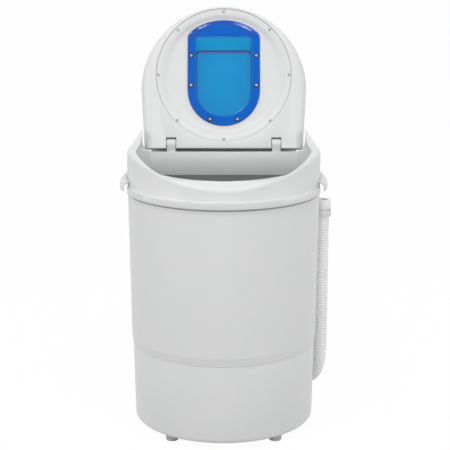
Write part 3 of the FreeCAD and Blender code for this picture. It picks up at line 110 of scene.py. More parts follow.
def mouldedPlastic(name, look):
    # moulded skin: faint flow clouds, a fine spark-eroded grain, a soft broad gloss; the real grain is
    # about 0.2 mm and too fine to show, so each plastic draws it as coarse as its grainMm says
    finish, tree, shader = newFinish(name)
    where = addNode(tree, "ShaderNodeTexCoord").outputs["Object"]
    mottled(tree, shader, look, where, look["flowMm"], skinNoise["flow"])
    grain = addNode(tree, "ShaderNodeTexNoise", links={"Vector": where},
                    values={"Scale": 1000 / look["grainMm"], "Detail": skinNoise["grain"]})
    bump = addNode(tree, "ShaderNodeBump", links={"Height": grain.outputs["Fac"]},
                   values={"Strength": look["grainDepth"], "Distance": skinNoise["reliefMm"] * mm})
    tree.links.new(bump.outputs["Normal"], shader.inputs["Normal"])
    shader.inputs["IOR"].default_value = look["ior"]
    if "coat" in look:
        shader.inputs["Coat Weight"].default_value = look["coat"]
        shader.inputs["Coat Roughness"].default_value = look["coatRough"]
    return finish


def bareMetal(name, look):
    # plated, cast, drawn or painted metal: broken-up reflections from a directional or mottled skin
    finish, tree, shader = newFinish(name)
    where = addNode(tree, "ShaderNodeTexCoord").outputs["Object"]
    stretch = addNode(tree, "ShaderNodeMapping", values={"Scale": look["stretch"]}, links={"Vector": where})
    skin = mottled(tree, shader, look, stretch.outputs["Vector"], look["markMm"], skinNoise["mark"])
    bump = addNode(tree, "ShaderNodeBump", links={"Height": skin},
                   values={"Strength": look["markDepth"], "Distance": skinNoise["reliefMm"] * mm})
    tree.links.new(bump.outputs["Normal"], shader.inputs["Normal"])
    shader.inputs["Metallic"].default_value = look["metal"]
    return finish


def tintedAcrylic(name, look):
    # blue tinted acrylic, moulded in a polished tool: clear gloss over a deep colour
    finish, tree, shader = newFinish(name)
    where = addNode(tree, "ShaderNodeTexCoord").outputs["Object"]
    mottled(tree, shader, look, where, look["flowMm"], skinNoise["tint"])
    shader.inputs["Transmission Weight"].default_value = look["clear"]
    shader.inputs["Specular IOR Level"].default_value = look["shine"]
    shader.inputs["IOR"].default_value = look["ior"]
    return finish


# white ABS, injection moulded: bright and even, the grain only just softens the gloss
whiteAbs = mouldedPlastic("whiteAbsMoulded", {
    "colour": "#e4e4e4", "shade": "#dedfdf", "flowMm": 90, "grainMm": 1.0, "grainDepth": 0.03,
    "rough": (0.30, 0.40), "ior": 1.53})
# grey polypropylene, injection moulded: duller and a little waxy
greyPolypropylene = mouldedPlastic("greyPolypropyleneMoulded", {
    "colour": "#b4b8bd", "shade": "#a9adb3", "flowMm": 60, "grainMm": 0.9, "grainDepth": 0.09,
    "rough": (0.42, 0.55), "ior": 1.49})
# blue ABS knobs, moulded in a polished tool: deep colour under a clear gloss
blueAbs = mouldedPlastic("blueAbsPolished", {
    "colour": "#1670c4", "shade": "#115fae", "flowMm": 30, "grainMm": 0.7, "grainDepth": 0.03,
    "rough": (0.22, 0.30), "ior": 1.53, "coat": 0.3, "coatRough": 0.12})
# corrugated polyethylene, blow moulded: milky white with a soft sheen
hosePolyethylene = mouldedPlastic("hosePolyethyleneBlown", {
    "colour": "#fafafa", "shade": "#f1f1f2", "flowMm": 40, "grainMm": 0.7, "grainDepth": 0.06,
    "rough": (0.34, 0.44), "ior": 1.51})
# black rubber, compression moulded: almost no gloss, dusty mottling
blackRubber = mouldedPlastic("blackRubberMoulded", {
    "colour": "#1d1e20", "shade": "#2a2b2d", "flowMm": 12, "grainMm": 0.8, "grainDepth": 0.2,
    "rough": (0.70, 0.86), "ior": 1.52})
# pale grey thermoplastic rubber, moulded: matt and even
paleRubber = mouldedPlastic("paleRubberMoulded", {
    "colour": "#c4c4c4", "shade": "#b4b5b6", "flowMm": 12, "grainMm": 0.8, "grainDepth": 0.12,
    "rough": (0.60, 0.75), "ior": 1.50})
# zinc-plated steel: bright bluish grey with a slight mottled bloom
zincSteel = bareMetal("steelZincPlated", {
    "colour": "#b4b8bd", "shade": "#8d9198", "stretch": (1, 1, 1), "markMm": 1.6, "markDepth": 0.06,
    "rough": (0.22, 0.36), "metal": 1.0})
# sheet steel with baked grey paint: orange-peel ripple under a satin gloss
paintedSteel = bareMetal("steelBakedPaint", {
    "colour": "#7d8388", "shade": "#737a80", "stretch": (1, 1, 1), "markMm": 2.4, "markDepth": 0.16,
    "rough": (0.34, 0.46), "metal": 0.0})
# die-cast aluminium: dull skin with a sandy mottle
castAluminium = bareMetal("aluminiumDieCast", {
    "colour": "#b6b8ba", "shade": "#96999c", "stretch": (1, 1, 1), "markMm": 1.1, "markDepth": 0.3,
    "rough": (0.42, 0.60), "metal": 1.0})
# drawn aluminium can: fine lines along its length, drawn 0.8 mm wide to show
drawnAluminium = bareMetal("aluminiumDrawn", {
    "colour": "#d2d4d6", "shade": "#bfc2c5", "stretch": (1, 1, 0.04), "markMm": 0.8, "markDepth": 0.12,
    "rough": (0.24, 0.38), "metal": 1.0})
# the window's acrylic: its pane is see-through
clearAcrylic = tintedAcrylic("blueAcrylicPane", {
    "colour": "#06a8e6", "shade": "#049fde", "flowMm": 45, "rough": (0.04, 0.08), "clear": 0.4,
    "shine": 0.1, "ior": 1.49})
# its flange: the same acrylic painted a deeper blue, as painted shade
flangeShadeAcrylic = tintedAcrylic("blueAcrylicFlangeShaded", {
    "colour": "#006cd8", "shade": "#0064cf", "flowMm": 45, "rough": (0.08, 0.14), "clear": 0.15,
    "shine": 0.1, "ior": 1.49})
# its sloped wall: the same acrylic painted paler, as painted light
slopeLitAcrylic = tintedAcrylic("blueAcrylicSlopeLit", {
    "colour": "#0cc0ff", "shade": "#08b8f8", "flowMm": 45, "rough": (0.04, 0.08), "clear": 0.25,
    "shine": 0.1, "ior": 1.49})
# its cut edges and folds: the same acrylic painted dark, as painted shade along them
edgeShadeAcrylic = tintedAcrylic("blueAcrylicEdgeShade", {
    "colour": "#0148a4", "shade": "#01409a", "flowMm": 45, "rough": (0.05, 0.1), "clear": 0.1,
    "shine": 0.5, "ior": 1.49})
# the pillowed edge of its arch: polished, so it catches the lamps, and painted a darker blue as painted shade
archShadeAcrylic = tintedAcrylic("blueAcrylicArchShaded", {
    "colour": "#0056c0", "shade": "#0050b6", "flowMm": 45, "rough": (0.04, 0.07), "clear": 0.05,
    "shine": 0.35, "ior": 1.49})
# the bosses round its screws: painted darkest, as painted shade round each screw
bossShadeAcrylic = tintedAcrylic("blueAcrylicBossShade", {
    "colour": "#01215c", "shade": "#011c50", "flowMm": 10, "rough": (0.08, 0.14), "clear": 0.05,
    "shine": 0.3, "ior": 1.49})
finishOfSlot = {
    "white_plastic": whiteAbs, "grey_plastic": greyPolypropylene, "blue_plastic": blueAbs,
    "blue_window": clearAcrylic, "hose_plastic": hosePolyethylene, "black_rubber": blackRubber,
    "pale_rubber": paleRubber, "steel": zincSteel, "grey_painted_metal": paintedSteel,
    "cast_aluminium": castAluminium, "aluminium_can": drawnAluminium}
for name, part in cadNodes.items():
    part.data.materials.clear()
    part.data.materials.append(finishOfSlot[slotOfNode[name]])
print("finishes made:", len(finishOfSlot))


def newPiece(name, mesh, node):
    # a finished mesh rides on the node's own body
    piece = placed(name, mesh)
    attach(piece, bodyOfNode[node])
    return piece


def standIn(name, mesh, node):
    # the piece that stands for its CAD node
    if not mesh.materials:
        mesh.materials.append(finishOfSlot[slotOfNode[node]])
    piece = newPiece(name, mesh, node)
    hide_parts(node)
    return piece


def smoothShaded(mesh, sharpFrom=40):
    mesh.shade_smooth()
    mesh.set_sharp_from_angle(angle=math.radians(sharpFrom))
    return mesh


def evaluatedMesh(carrier, helpers=()):
    # the carrier's final shape as a plain mesh; the carrier and its helpers are dropped
    view = bpy.context.evaluated_depsgraph_get()
    mesh = bpy.data.meshes.new_from_object(carrier.evaluated_get(view), depsgraph=view)
    carrier.modifiers.clear()
    for thing in (carrier, *helpers):
        bpy.data.objects.remove(thing)
    return mesh


def newTree(name, inputs):
    # a Geometry Nodes tree with named inputs, and the sockets that give them
    tree = bpy.data.node_groups.new(name, "GeometryNodeTree")
    tree.interface.new_socket("Geometry", in_out="INPUT", socket_type="NodeSocketGeometry")
    for label, kind in inputs.items():
        tree.interface.new_socket(label, in_out="INPUT", socket_type="NodeSocket" + kind)
    tree.interface.new_socket("Geometry", in_out="OUTPUT", socket_type="NodeSocketGeometry")
    return tree, addNode(tree, "NodeGroupInput").outputs


def closedTree(tree, shape, finish):
    real = addNode(tree, "GeometryNodeRealizeInstances", links={"Geometry": shape})
    coated = addNode(tree, "GeometryNodeSetMaterial",
                     links={"Geometry": real.outputs["Geometry"], "Material": finish})
    addNode(tree, "NodeGroupOutput", links={0: coated.outputs["Geometry"]})
    return tree


def nodesToMesh(carrier, tree, inputs):
    # sets the tree's inputs by identifier and reads the evaluated mesh
    holder = carrier.modifiers.new("build", "NODES")
    holder.node_group = tree
    byName = {item.name: item.identifier for item in tree.interface.items_tree if item.in_out == "INPUT"}
    for name, value in inputs.items():
        holder[byName[name]] = value
    return evaluatedMesh(carrier)


# drain hose: ribbed tube on the route's own curve, plain at both ends, its length in metres
drainHose = {
    "route": [(93.2, 158.15, 30.0), (131.0, 142.11, 30.0), (156.5, 115.0, 35.5), (170.5, 86.5, 56.0),
              (176.8, 67.0, 91.0), (176.8, 56.0, 152.0), (176.5, 50.0, 258.0), (176.5, 50.0, 362.0)],
    "crest": 12.0, "root": 10.2, "plain": 11.4, "pitch": 4.9, "ribsFrom": 25.0, "ribs": 77,
    "length": 0.4268, "step": 0.6, "sides": 40, "fineness": 48}


def routePath(points):
    # smooth line whose control points are the route's own points
    data = bpy.data.curves.new("hoseRoute", "CURVE")
    data.dimensions = "3D"
    spline = data.splines.new("NURBS")
    spline.points.add(len(points) - 1)
    for point, (x, y, z) in zip(spline.points, points):
        point.co = (x * mm, y * mm, z * mm, 1)
    spline.order_u = 3
    spline.use_endpoint_u = True
    data.resolution_u = drainHose["fineness"]
    return evaluatedMesh(placed("hoseRoute", data))


def ribbedTubeTree():
    # the tube's radius swings between root and crest along the ribbed stretch
    tree, given = newTree("ribbedHose", {
        "Crest": "Float", "Root": "Float", "Plain": "Float", "Pitch": "Float", "Ribs From": "Float",
        "Ribs To": "Float", "Step": "Float", "Sides": "Int", "Finish": "Material"})
    line = addNode(tree, "GeometryNodeMeshToCurve", links={"Mesh": given["Geometry"]})
    fine = addNode(tree, "GeometryNodeResampleCurve", {"mode": "LENGTH"},
                   links={"Curve": line.outputs["Curve"], "Length": given["Step"]})
    along = addNode(tree, "GeometryNodeSplineParameter").outputs["Length"]
    past = addNode(tree, "ShaderNodeMath", {"operation": "SUBTRACT"}, links={0: along, 1: given["Ribs From"]})
    turns = addNode(tree, "ShaderNodeMath", {"operation": "DIVIDE"},
                    links={0: past.outputs[0], 1: given["Pitch"]})
    phase = addNode(tree, "ShaderNodeMath", {"operation": "MULTIPLY"}, {1: 2 * math.pi},
                    {0: turns.outputs[0]})
    wave = addNode(tree, "ShaderNodeMath", {"operation": "COSINE"}, links={0: phase.outputs[0]})
    rib = addNode(tree, "ShaderNodeMapRange", values={1: -1.0, 2: 1.0},
                  links={0: wave.outputs[0], 3: given["Crest"], 4: given["Root"]})
    after = addNode(tree, "ShaderNodeMath", {"operation": "GREATER_THAN"},
                    links={0: along, 1: given["Ribs From"]})
    before = addNode(tree, "ShaderNodeMath", {"operation": "LESS_THAN"},
                     links={0: along, 1: given["Ribs To"]})
    ribbed = addNode(tree, "ShaderNodeMath", {"operation": "MULTIPLY"},
                     links={0: after.outputs[0], 1: before.outputs[0]})
    radius = addNode(tree, "ShaderNodeMix", {"data_type": "FLOAT"},
                     links={0: ribbed.outputs[0], 2: given["Plain"], 3: rib.outputs[0]})
    ring = addNode(tree, "GeometryNodeCurvePrimitiveCircle", values={"Radius": 1.0},
                   links={"Resolution": given["Sides"]})
    tube = addNode(tree, "GeometryNodeCurveToMesh", values={"Fill Caps": True},
                   links={"Curve": fine.outputs["Curve"], "Profile Curve": ring.outputs["Curve"],
                          "Scale": radius.outputs[0]})
    return closedTree(tree, tube.outputs["Mesh"], given["Finish"])


def makeHose():
    line = routePath(drainHose["route"])
    path = [tuple(vertex.co) for vertex in line.vertices]
    mesh = nodesToMesh(placed("hoseLine", line), ribbedTubeTree(), {
        "Crest": drainHose["crest"] * mm, "Root": drainHose["root"] * mm, "Plain": drainHose["plain"] * mm,
        "Pitch": drainHose["pitch"] * mm, "Ribs From": drainHose["ribsFrom"] * mm,
        "Ribs To": (drainHose["ribsFrom"] + drainHose["ribs"] * drainHose["pitch"]) * mm,
        "Step": drainHose["step"] * mm, "Sides": drainHose["sides"], "Finish": hosePolyethylene})
    mesh.shade_smooth()
    return standIn("ribbedHose", mesh, "drain_hose"), path


hosePiece, hosePath = makeHose()
print("hose made:", len(hosePath), "points read from its line")

# cross-recessed screw: block, slot and sink are shares of the head's or shank's own size
crossHead = {"segments": 24, "rings": 16, "slot": (1.15, 0.26, 1.0), "slotLift": 0.92, "shankSides": 16,
             "shankSink": -0.49, "blockSize": 3.0, "sharpFrom": 35}


def panScrewTree():
    # domed heads with a cross recess on short shanks, one on each point
    tree, given = newTree("panScrews", {
        "Head Radius": "Float", "Head Height": "Float", "Shank Radius": "Float", "Shank Length": "Float",
        "Turn": "Vector", "Seed": "Int", "Finish": "Material"})
    ball = addNode(tree, "GeometryNodeMeshUVSphere",
                   values={"Segments": crossHead["segments"], "Rings": crossHead["rings"], "Radius": 1.0})
    width = addNode(tree, "ShaderNodeCombineXYZ", links={
        0: given["Head Radius"], 1: given["Head Radius"], 2: given["Head Height"]}).outputs[0]
    dome = addNode(tree, "GeometryNodeTransform", links={"Geometry": ball.outputs["Mesh"], "Scale": width})
    wide = addNode(tree, "ShaderNodeVectorMath", {"operation": "SCALE"}, {"Scale": crossHead["blockSize"]},
                   {0: width}).outputs[0]
    # the block below the seat leaves half a ball
    low = addNode(tree, "ShaderNodeVectorMath", {"operation": "MULTIPLY"}, {1: (0, 0, -0.5)}, {0: wide})
    block = addNode(tree, "GeometryNodeMeshCube", links={"Size": wide})
    under = addNode(tree, "GeometryNodeTransform",
                    links={"Geometry": block.outputs["Mesh"], "Translation": low.outputs[0]})
    head = addNode(tree, "GeometryNodeMeshBoolean", {"operation": "DIFFERENCE", "solver": "EXACT"},
                   links={"Mesh 1": dome.outputs["Geometry"], "Mesh 2": under.outputs["Geometry"]})
    slotSize = addNode(tree, "ShaderNodeVectorMath", {"operation": "MULTIPLY"}, {1: crossHead["slot"]},
                       {0: width})
    lift = addNode(tree, "ShaderNodeVectorMath", {"operation": "MULTIPLY"},
                   {1: (0, 0, crossHead["slotLift"])}, {0: width})
    bar = addNode(tree, "GeometryNodeMeshCube", links={"Size": slotSize.outputs[0]})
    for turn in (0, math.pi / 2):
        cutter = addNode(tree, "GeometryNodeTransform", values={"Rotation": (0, 0, turn)},
                         links={"Geometry": bar.outputs["Mesh"], "Translation": lift.outputs[0]})
        tree.links.new(cutter.outputs["Geometry"], head.inputs["Mesh 2"])
    shank = addNode(tree, "GeometryNodeMeshCylinder", values={"Vertices": crossHead["shankSides"]},
                    links={"Radius": given["Shank Radius"], "Depth": given["Shank Length"]})
    sink = addNode(tree, "ShaderNodeMath", {"operation": "MULTIPLY"}, {1: crossHead["shankSink"]},
                   {0: given["Shank Length"]})
    down = addNode(tree, "ShaderNodeCombineXYZ", links={2: sink.outputs[0]})
    stem = addNode(tree, "GeometryNodeTransform",
                   links={"Geometry": shank.outputs["Mesh"], "Translation": down.outputs[0]})
    screw = addNode(tree, "GeometryNodeJoinGeometry", links={"Geometry": head.outputs["Mesh"]})
    tree.links.new(stem.outputs["Geometry"], screw.inputs["Geometry"])
    spin = addNode(tree, "FunctionNodeRandomValue", {"data_type": "FLOAT"}, {2: 0.0, 3: math.pi},
                   {"Seed": given["Seed"]})
    twist = addNode(tree, "ShaderNodeCombineXYZ", links={2: spin.outputs[1]})
    lean = addNode(tree, "FunctionNodeEulerToRotation", links={0: given["Turn"]})
    own = addNode(tree, "FunctionNodeEulerToRotation", links={0: twist.outputs[0]})
    both = addNode(tree, "FunctionNodeRotateRotation", {"rotation_space": "LOCAL"},
                   links={0: lean.outputs[0], 1: own.outputs[0]})
    points = addNode(tree, "GeometryNodeMeshToPoints", links={"Mesh": given["Geometry"]})
    sown = addNode(tree, "GeometryNodeInstanceOnPoints",
                   links={"Points": points.outputs["Points"], "Instance": screw.outputs["Geometry"],
                          "Rotation": both.outputs[0]})
    return closedTree(tree, sown.outputs["Instances"], given["Finish"])


screwTree = panScrewTree()


def screwMesh(name, spots, turn, look, finish=zincSteel):
    # spots in millimetres at the heads' seats; turn points the heads
    points = bpy.data.meshes.new(name + "Spots")
    points.from_pydata([tuple(c * mm for c in spot) for spot in spots], [], [])
    mesh = nodesToMesh(placed(name + "Spots", points), screwTree, {
        "Head Radius": look["head"] * mm, "Head Height": look["rise"] * mm,
        "Shank Radius": look["shank"] * mm, "Shank Length": look["length"] * mm,
        "Turn": turn, "Seed": look["seed"], "Finish": finish})
    return smoothShaded(mesh, crossHead["sharpFrom"])


def loopSkin(name, loops, closed=False):
    # skins matching loops of points; open ends are capped flat
    count = len(loops[0])
    points = [tuple(c * mm for c in point) for loop in loops for point in loop]
    pairs = [(k, (k + 1) % len(loops)) for k in range(len(loops) if closed else len(loops) - 1)]
    faces = [(a * count + i, a * count + (i + 1) % count, b * count + (i + 1) % count, b * count + i)
             for a, b in pairs for i in range(count)]
    if not closed:
        faces.append(tuple(reversed(range(count))))
        faces.append(tuple((len(loops) - 1) * count + i for i in range(count)))
    mesh = bpy.data.meshes.new(name)
    mesh.from_pydata(points, [], faces)
    shape = bmesh.new()
    shape.from_mesh(mesh)
    bmesh.ops.recalc_face_normals(shape, faces=shape.faces)
    shape.to_mesh(mesh)
    shape.free()
    return smoothShaded(mesh)


def roundedSection(corners, steps=5):
    # a closed outline of (radius, height, corner round) with its corners turned into short arcs
    outline = []
    for k, (r, z, bend) in enumerate(corners):
        here = Vector((r, z))
        before = Vector(corners[k - 1][:2]) - here
        after = Vector(corners[(k + 1) % len(corners)][:2]) - here
        if not bend:
            outline.append((r, z))
            continue
        half = before.angle(after) / 2
        reach = bend / math.tan(half)
        middle = here + (before.normalized() + after.normalized()).normalized() * bend / math.sin(half)
        start, end = here + before.normalized() * reach - middle, here + after.normalized() * reach - middle
        sweep = start.angle_signed(end)
        for i in range(steps + 1):
            turn = -sweep * i / steps
            outline.append((middle.x + start.x * math.cos(turn) - start.y * math.sin(turn),
                            middle.y + start.x * math.sin(turn) + start.y * math.cos(turn)))
    return outline


def turnedMesh(name, section, segments=192):
    # a closed section swept once round the Z axis
    angles = [2 * math.pi * i / segments for i in range(segments)]
    loops = [[(r * math.cos(a), r * math.sin(a), z) for a in angles] for r, z in section]
    return loopSkin(name, loops, closed=True)


def rodMesh(radius, start, end, sides=48):
    # a plain round cutter between two points, millimetres
    shape = bmesh.new()
    axis = Vector(end) - Vector(start)
    turn = axis.to_track_quat("Z", "Y").to_matrix().to_4x4()
    place = Matrix.Translation((Vector(start) + axis / 2) * mm) @ turn
    bmesh.ops.create_cone(shape, cap_ends=True, segments=sides, radius1=radius * mm, radius2=radius * mm,
                          depth=axis.length * mm, matrix=place)
    mesh = bpy.data.meshes.new("cutter")
    shape.to_mesh(mesh)
    shape.free()
    return mesh


def drilled(mesh, cutters, sharpFrom=40):
    # takes round holes out of a mesh
    blank = placed("blank", mesh)
    tools = [placed("tool", cutter) for cutter in cutters]
    for tool in tools:
        step = blank.modifiers.new("hole", "BOOLEAN")
        step.operation, step.solver, step.object = "DIFFERENCE", "EXACT", tool
    result = evaluatedMesh(blank, tools)
    result.set_sharp_from_angle(angle=math.radians(sharpFrom))
    return result


def around(radius, degrees, z):
    return (radius * math.cos(math.radians(degrees)), radius * math.sin(math.radians(degrees)), z)


# lower housing: a slightly tapered drum with a rounded foot edge and an open lip below;
# outlet and gland are holes given by heading, height and radius, cut over the wall's span
lowerHousing = {
    "section": [(138, 12, 0.6), (158, 12, 8), (160.5, 151, 0.8), (158.7, 151, 0), (158.7, 172, 1),
                (140, 172, 1), (140, 169, 0), (155.7, 169, 0), (155, 15, 0), (138, 15, 0.6)],
    "feet": [(x, y) for x in (-89.3, 89.3) for y in (-104.2, 104.2)], "footHole": 12.3, "footSpan": (5, 15.5),
    "outlet": (67, 30, 11.3), "gland": (118, 42, 6.8), "wallSpan": (120, 190)}


def makeHousing():
    mesh = turnedMesh("lowerHousing", roundedSection(lowerHousing["section"]))
    low, high = lowerHousing["footSpan"]
    cutters = [rodMesh(lowerHousing["footHole"], (x, y, low), (x, y, high)) for x, y in lowerHousing["feet"]]
    inner, outer = lowerHousing["wallSpan"]
    for angle, z, radius in (lowerHousing["outlet"], lowerHousing["gland"]):
        cutters.append(rodMesh(radius, around(inner, angle, z), around(outer, angle, z)))
    standIn("lowerHousing", drilled(mesh, cutters), "base_housing")


# wash tub: outer skirt with a drawn-in strip at the seam, a dark reveal under the cover whose back faces are
# painted grey as painted shade, a dished corner inside and a drain hole given by reach, heading and radius
washTub = {
    "section": [(160.9, 151, 0.6), (162.6, 164, 0.3), (162.9, 164.9, 0.3), (166.33, 418.9, 0.2),
                (164.0, 419.1, 0), (164.0, 424.5, 0), (166.4, 424.8, 0), (166.5, 431, 0.6), (163.5, 431, 0.6),
                (159, 176, 18), (14.3, 176, 0.4), (14.3, 172, 0), (159, 172, 0), (159, 151, 0.5)],
    "cornerSteps": 8, "drain": (118, 67, 8.5), "floorSpan": (168, 182),
    "shadeStrip": {"inner": 163.7, "outer": 165.0, "low": 418.0, "high": 425.0}}


def makeTub():
    mesh = turnedMesh("washTub", roundedSection(washTub["section"], washTub["cornerSteps"]))
    reach, angle, bore = washTub["drain"]
    hole = rodMesh(bore, *(around(reach, angle, z) for z in washTub["floorSpan"]))
    mesh = drilled(mesh, [hole])
    mesh.materials.clear()
    # the reveal's back faces take grey polypropylene: painted shade in the gap under the cover
    for finish in (whiteAbs, greyPolypropylene):
        mesh.materials.append(finish)
    shadeStrip = {key: size * mm for key, size in washTub["shadeStrip"].items()}
    for face in mesh.polygons:
        radius = math.hypot(face.center.x, face.center.y)
        onShadeStrip = shadeStrip["low"] < face.center.z < shadeStrip["high"] and shadeStrip["inner"] < radius < shadeStrip["outer"]
        face.material_index = int(onShadeStrip)
    standIn("washTub", mesh, "wash_tub")


makeHousing()
makeTub()
print("housing and tub turned")

# lid window: a blue sheet with a flat flange and a deep boxed pane, drawn level about the hinge axis;
# its skins are loops of (height, offset from the outline), and the arch's pillow is a fall over two offsets
lidWindow = {
    "flange": {"half": 65.0, "top": 228.5, "shoulder": 202.0, "centre": 97.5,
               "pillow": (-2.4, -11.0), "fall": 1.6, "fade": 8, "steps": 8},
    "pane": {"half": 50.3, "far": 194.0, "slope": 23.0, "centre": 101.0},
    "under": -3.0, "back": -0.6, "paneFloor": 14.0,
    "outside": [(16.5, -1.5), (16.5, 1.3), (16.1, 2.2), (15.3, 2.5), (0.0, 2.5), (-0.6, 3.0)],
    "edge": [(-0.6, -0.5), (-0.9, 0), (-1.6, 0), (-2.3, -0.3), (-2.8, -1.1)],
    "lip": (-3.0, 1.2),
    "inside": [(-2.7, 0.3), (-1.8, 0), (12.0, 0), (13.3, -0.6), (14.0, -2.0), (14.0, -4.0)],
    "counts": {"far": 24, "side": 28, "arc": 48}, "softening": 4}
lidHinge = {"axis": (0, 78, 487.7), "open": -110.0}
lidTilt = Matrix.Rotation(math.radians(lidHinge["open"]), 4, "X")
lidStand = Matrix.Translation(Vector(lidHinge["axis"])) @ lidTilt


def windowLoop(far, side, centre, z, offset, arch=0.0, fall=0.0):
    # far end (flat or arched), two straight sides and a round near end, always the same points in order;
    # fall lets the arch slope back from the flange's face, and fades out towards its corners
    counts, fade = lidWindow["counts"], lidWindow["flange"]["fade"]
    half, far = side + offset, far + offset
    points = []
    for i in range(counts["far"]):
        x = -half + 2 * half * i / counts["far"]
        points.append(Vector((x, -far - arch * (1 - (x / half) ** 2), fall * (1 - (x / half) ** fade))))
    for i in range(counts["side"]):
        points.append(Vector((half, -far + (far - centre) * i / counts["side"], 0)))
    for i in range(counts["arc"]):
        turn = math.pi * i / counts["arc"]
        points.append(Vector((half * math.cos(turn), -centre + half * math.sin(turn), 0)))
    for i in range(counts["side"]):
        points.append(Vector((-half, -centre - (far - centre) * i / counts["side"], 0)))
    total = len(points)
    for again in range(lidWindow["softening"]):  # eases the two corners at the far end
        points = [(points[k - 1] + points[k] * 2 + points[(k + 1) % total]) / 4 for k in range(total)]
    return [tuple(lidStand @ Vector((p.x, p.y, p.z + z))) for p in points]


def paneFar(z):
    # the pane's far wall leans towards the hinge with its depth
    under, pane = lidWindow["under"], lidWindow["pane"]
    return pane["far"] - pane["slope"] * (z - under) / (lidWindow["paneFloor"] - under)


def makeWindow():
    flange, pane = lidWindow["flange"], lidWindow["pane"]
    under, back = lidWindow["under"], lidWindow["back"]

    def rim(z, offset, share=0.0):
        # one loop of the flange; the arch falls back at its edge (share 0) and less so deeper in the sheet
        fall = flange["fall"] * (1 - share) ** 2 * (back - z) / (back - under)
        return windowLoop(flange["shoulder"], flange["half"], flange["centre"], z, offset,
                          flange["top"] - flange["shoulder"], fall)

    def box(z, offset):
        return windowLoop(paneFar(z), pane["half"], pane["centre"], z, offset)

    outside = [box(z, offset) for z, offset in lidWindow["outside"]]
    flangeSkin = [rim(z, offset) for z, offset in lidWindow["edge"]]
    first, last = flange["pillow"]
    for k in range(flange["steps"] + 1):
        share = k / flange["steps"]
        flangeSkin.append(rim(under, first + (last - first) * share, share))
    flangeSkin.append(box(*lidWindow["lip"]))
    inside = [box(z, offset) for z, offset in lidWindow["inside"]]
    mesh = loopSkin("lidWindow", outside + flangeSkin + inside)
    for finish in (clearAcrylic, flangeShadeAcrylic, slopeLitAcrylic, edgeShadeAcrylic, archShadeAcrylic):
        mesh.materials.append(finish)
    clear, flangeShade, slopeLit, edgeShade, polished = range(len(mesh.materials))
    count, far = len(outside[0]), lidWindow["counts"]["far"]
    flangeFrom, insideFrom = len(outside), len(outside) + len(flangeSkin)
    edgeRings = range(flangeFrom + 2, flangeFrom + 4)
    pillowRings = range(flangeFrom + 4, insideFrom - 2)
    foldRings = range(insideFrom + 2, insideFrom + 4)
    # the flange, slope, edge, fold and arch faces take lit and shaded copies of one acrylic: painted light
    # and shade
    for face in mesh.polygons:
        ring = min(k // count for k in face.vertices)
        place = sorted(k % count for k in face.vertices)[1]  # where the face lies along its loop
        atFarEnd = place < far
        if ring in edgeRings or ring in foldRings:
            face.material_index = edgeShade
        elif ring in pillowRings and atFarEnd:
            face.material_index = polished
        elif flangeFrom - 1 <= ring < insideFrom - 1:
            face.material_index = flangeShade
        elif ring == insideFrom + 1 and atFarEnd:
            face.material_index = slopeLit
        else:
            face.material_index = clear
    standIn("lidWindow", mesh, "lid_window")


# splash disc: a flat flange, a soft step down into a shallow dish, and a hole that the pane drops through
splashDisc = {
    "centre": (0.0, -124.0),
    "face": [(121, -7.0), (120.9, -7.9), (120.3, -8.4), (119.4, -8.5), (118.0, -8.4), (115.0, -7.9),
             (112.0, -7.2), (110.0, -6.3), (108.0, -5.0), (106.0, -3.5), (104.0, -2.2), (101.5, -1.1),
             (98.0, -0.5)],
    "back": [(98.0, 1.5), (106.5, 1.5), (109.9, -2.0), (110.0, -6.5), (121, -6.5)],
    "holeFace": -0.5, "holeBack": 1.5, "paneGap": 2.8}


def makeDisc():
    pane = lidWindow["pane"]
    far = paneFar(splashDisc["holeFace"])
    hole = windowLoop(far, pane["half"], pane["centre"], 0.0, splashDisc["paneGap"])
    level = lidStand.inverted()
    flat = [level @ Vector(point) for point in hole]
    middle = Vector((*splashDisc["centre"], 0))
    headings = [(point - middle).normalized() for point in flat]

    def ring(radius, z):
        return [tuple(lidStand @ (middle + way * radius + Vector((0, 0, z)))) for way in headings]

    def edge(z):
        return [tuple(lidStand @ (point + Vector((0, 0, z)))) for point in flat]

    loops = [ring(r, z) for r, z in splashDisc["face"]]
    loops += [edge(splashDisc["holeFace"]), edge(splashDisc["holeBack"])]
    loops += [ring(r, z) for r, z in splashDisc["back"]]
    standIn("splashDisc", loopSkin("splashDisc", loops, closed=True), "splash_disc")


# lid screws: eight round the splash disc, six through the window's bosses, heads towards the tub; the bosses
# are flat discs in the darkest acrylic, painted shade round each screw
lidScrews = {
    "disc": {"head": 2.7, "rise": 1.2, "shank": 1.5, "length": 4.0, "seed": 3,
             "circle": 117.0, "seat": -8.2, "count": 8},
    "window": {"head": 2.8, "rise": 1.3, "shank": 1.5, "length": 4.5, "seed": 7, "seat": -3.0,
               "spots": [(58.5, 160.75), (58.5, 106.5), (24.5, 44.4)]},
    "boss": {"head": 4.7, "rise": 0.6, "shank": 1.5, "length": 1.0, "seed": 5}}


def makeLidScrews():
    disc, window = lidScrews["disc"], lidScrews["window"]
    turn = (math.radians(lidHinge["open"] + 180), 0, 0)
    spots = []
    for k in range(disc["count"]):
        x, y, z = around(disc["circle"], 90 + 360 * k / disc["count"], disc["seat"])
        spots.append(lidStand @ Vector((x, y + splashDisc["centre"][1], z)))
    standIn("discScrews", screwMesh("discScrews", spots, turn, disc), "disc_screws")
    spots = [lidStand @ Vector((side * x, -y, window["seat"]))
             for x, y in window["spots"] for side in (-1, 1)]
    standIn("windowScrews", screwMesh("windowScrews", spots, turn, window), "window_screws")
    # the bosses carry painted shade: dark rings round the window screws
    bossShades = screwMesh("windowBossShades", spots, turn, lidScrews["boss"], bossShadeAcrylic)
    newPiece("windowBossShades", bossShades, "lid_window")


makeWindow()
makeDisc()
makeLidScrews()
print("window and splash disc made")

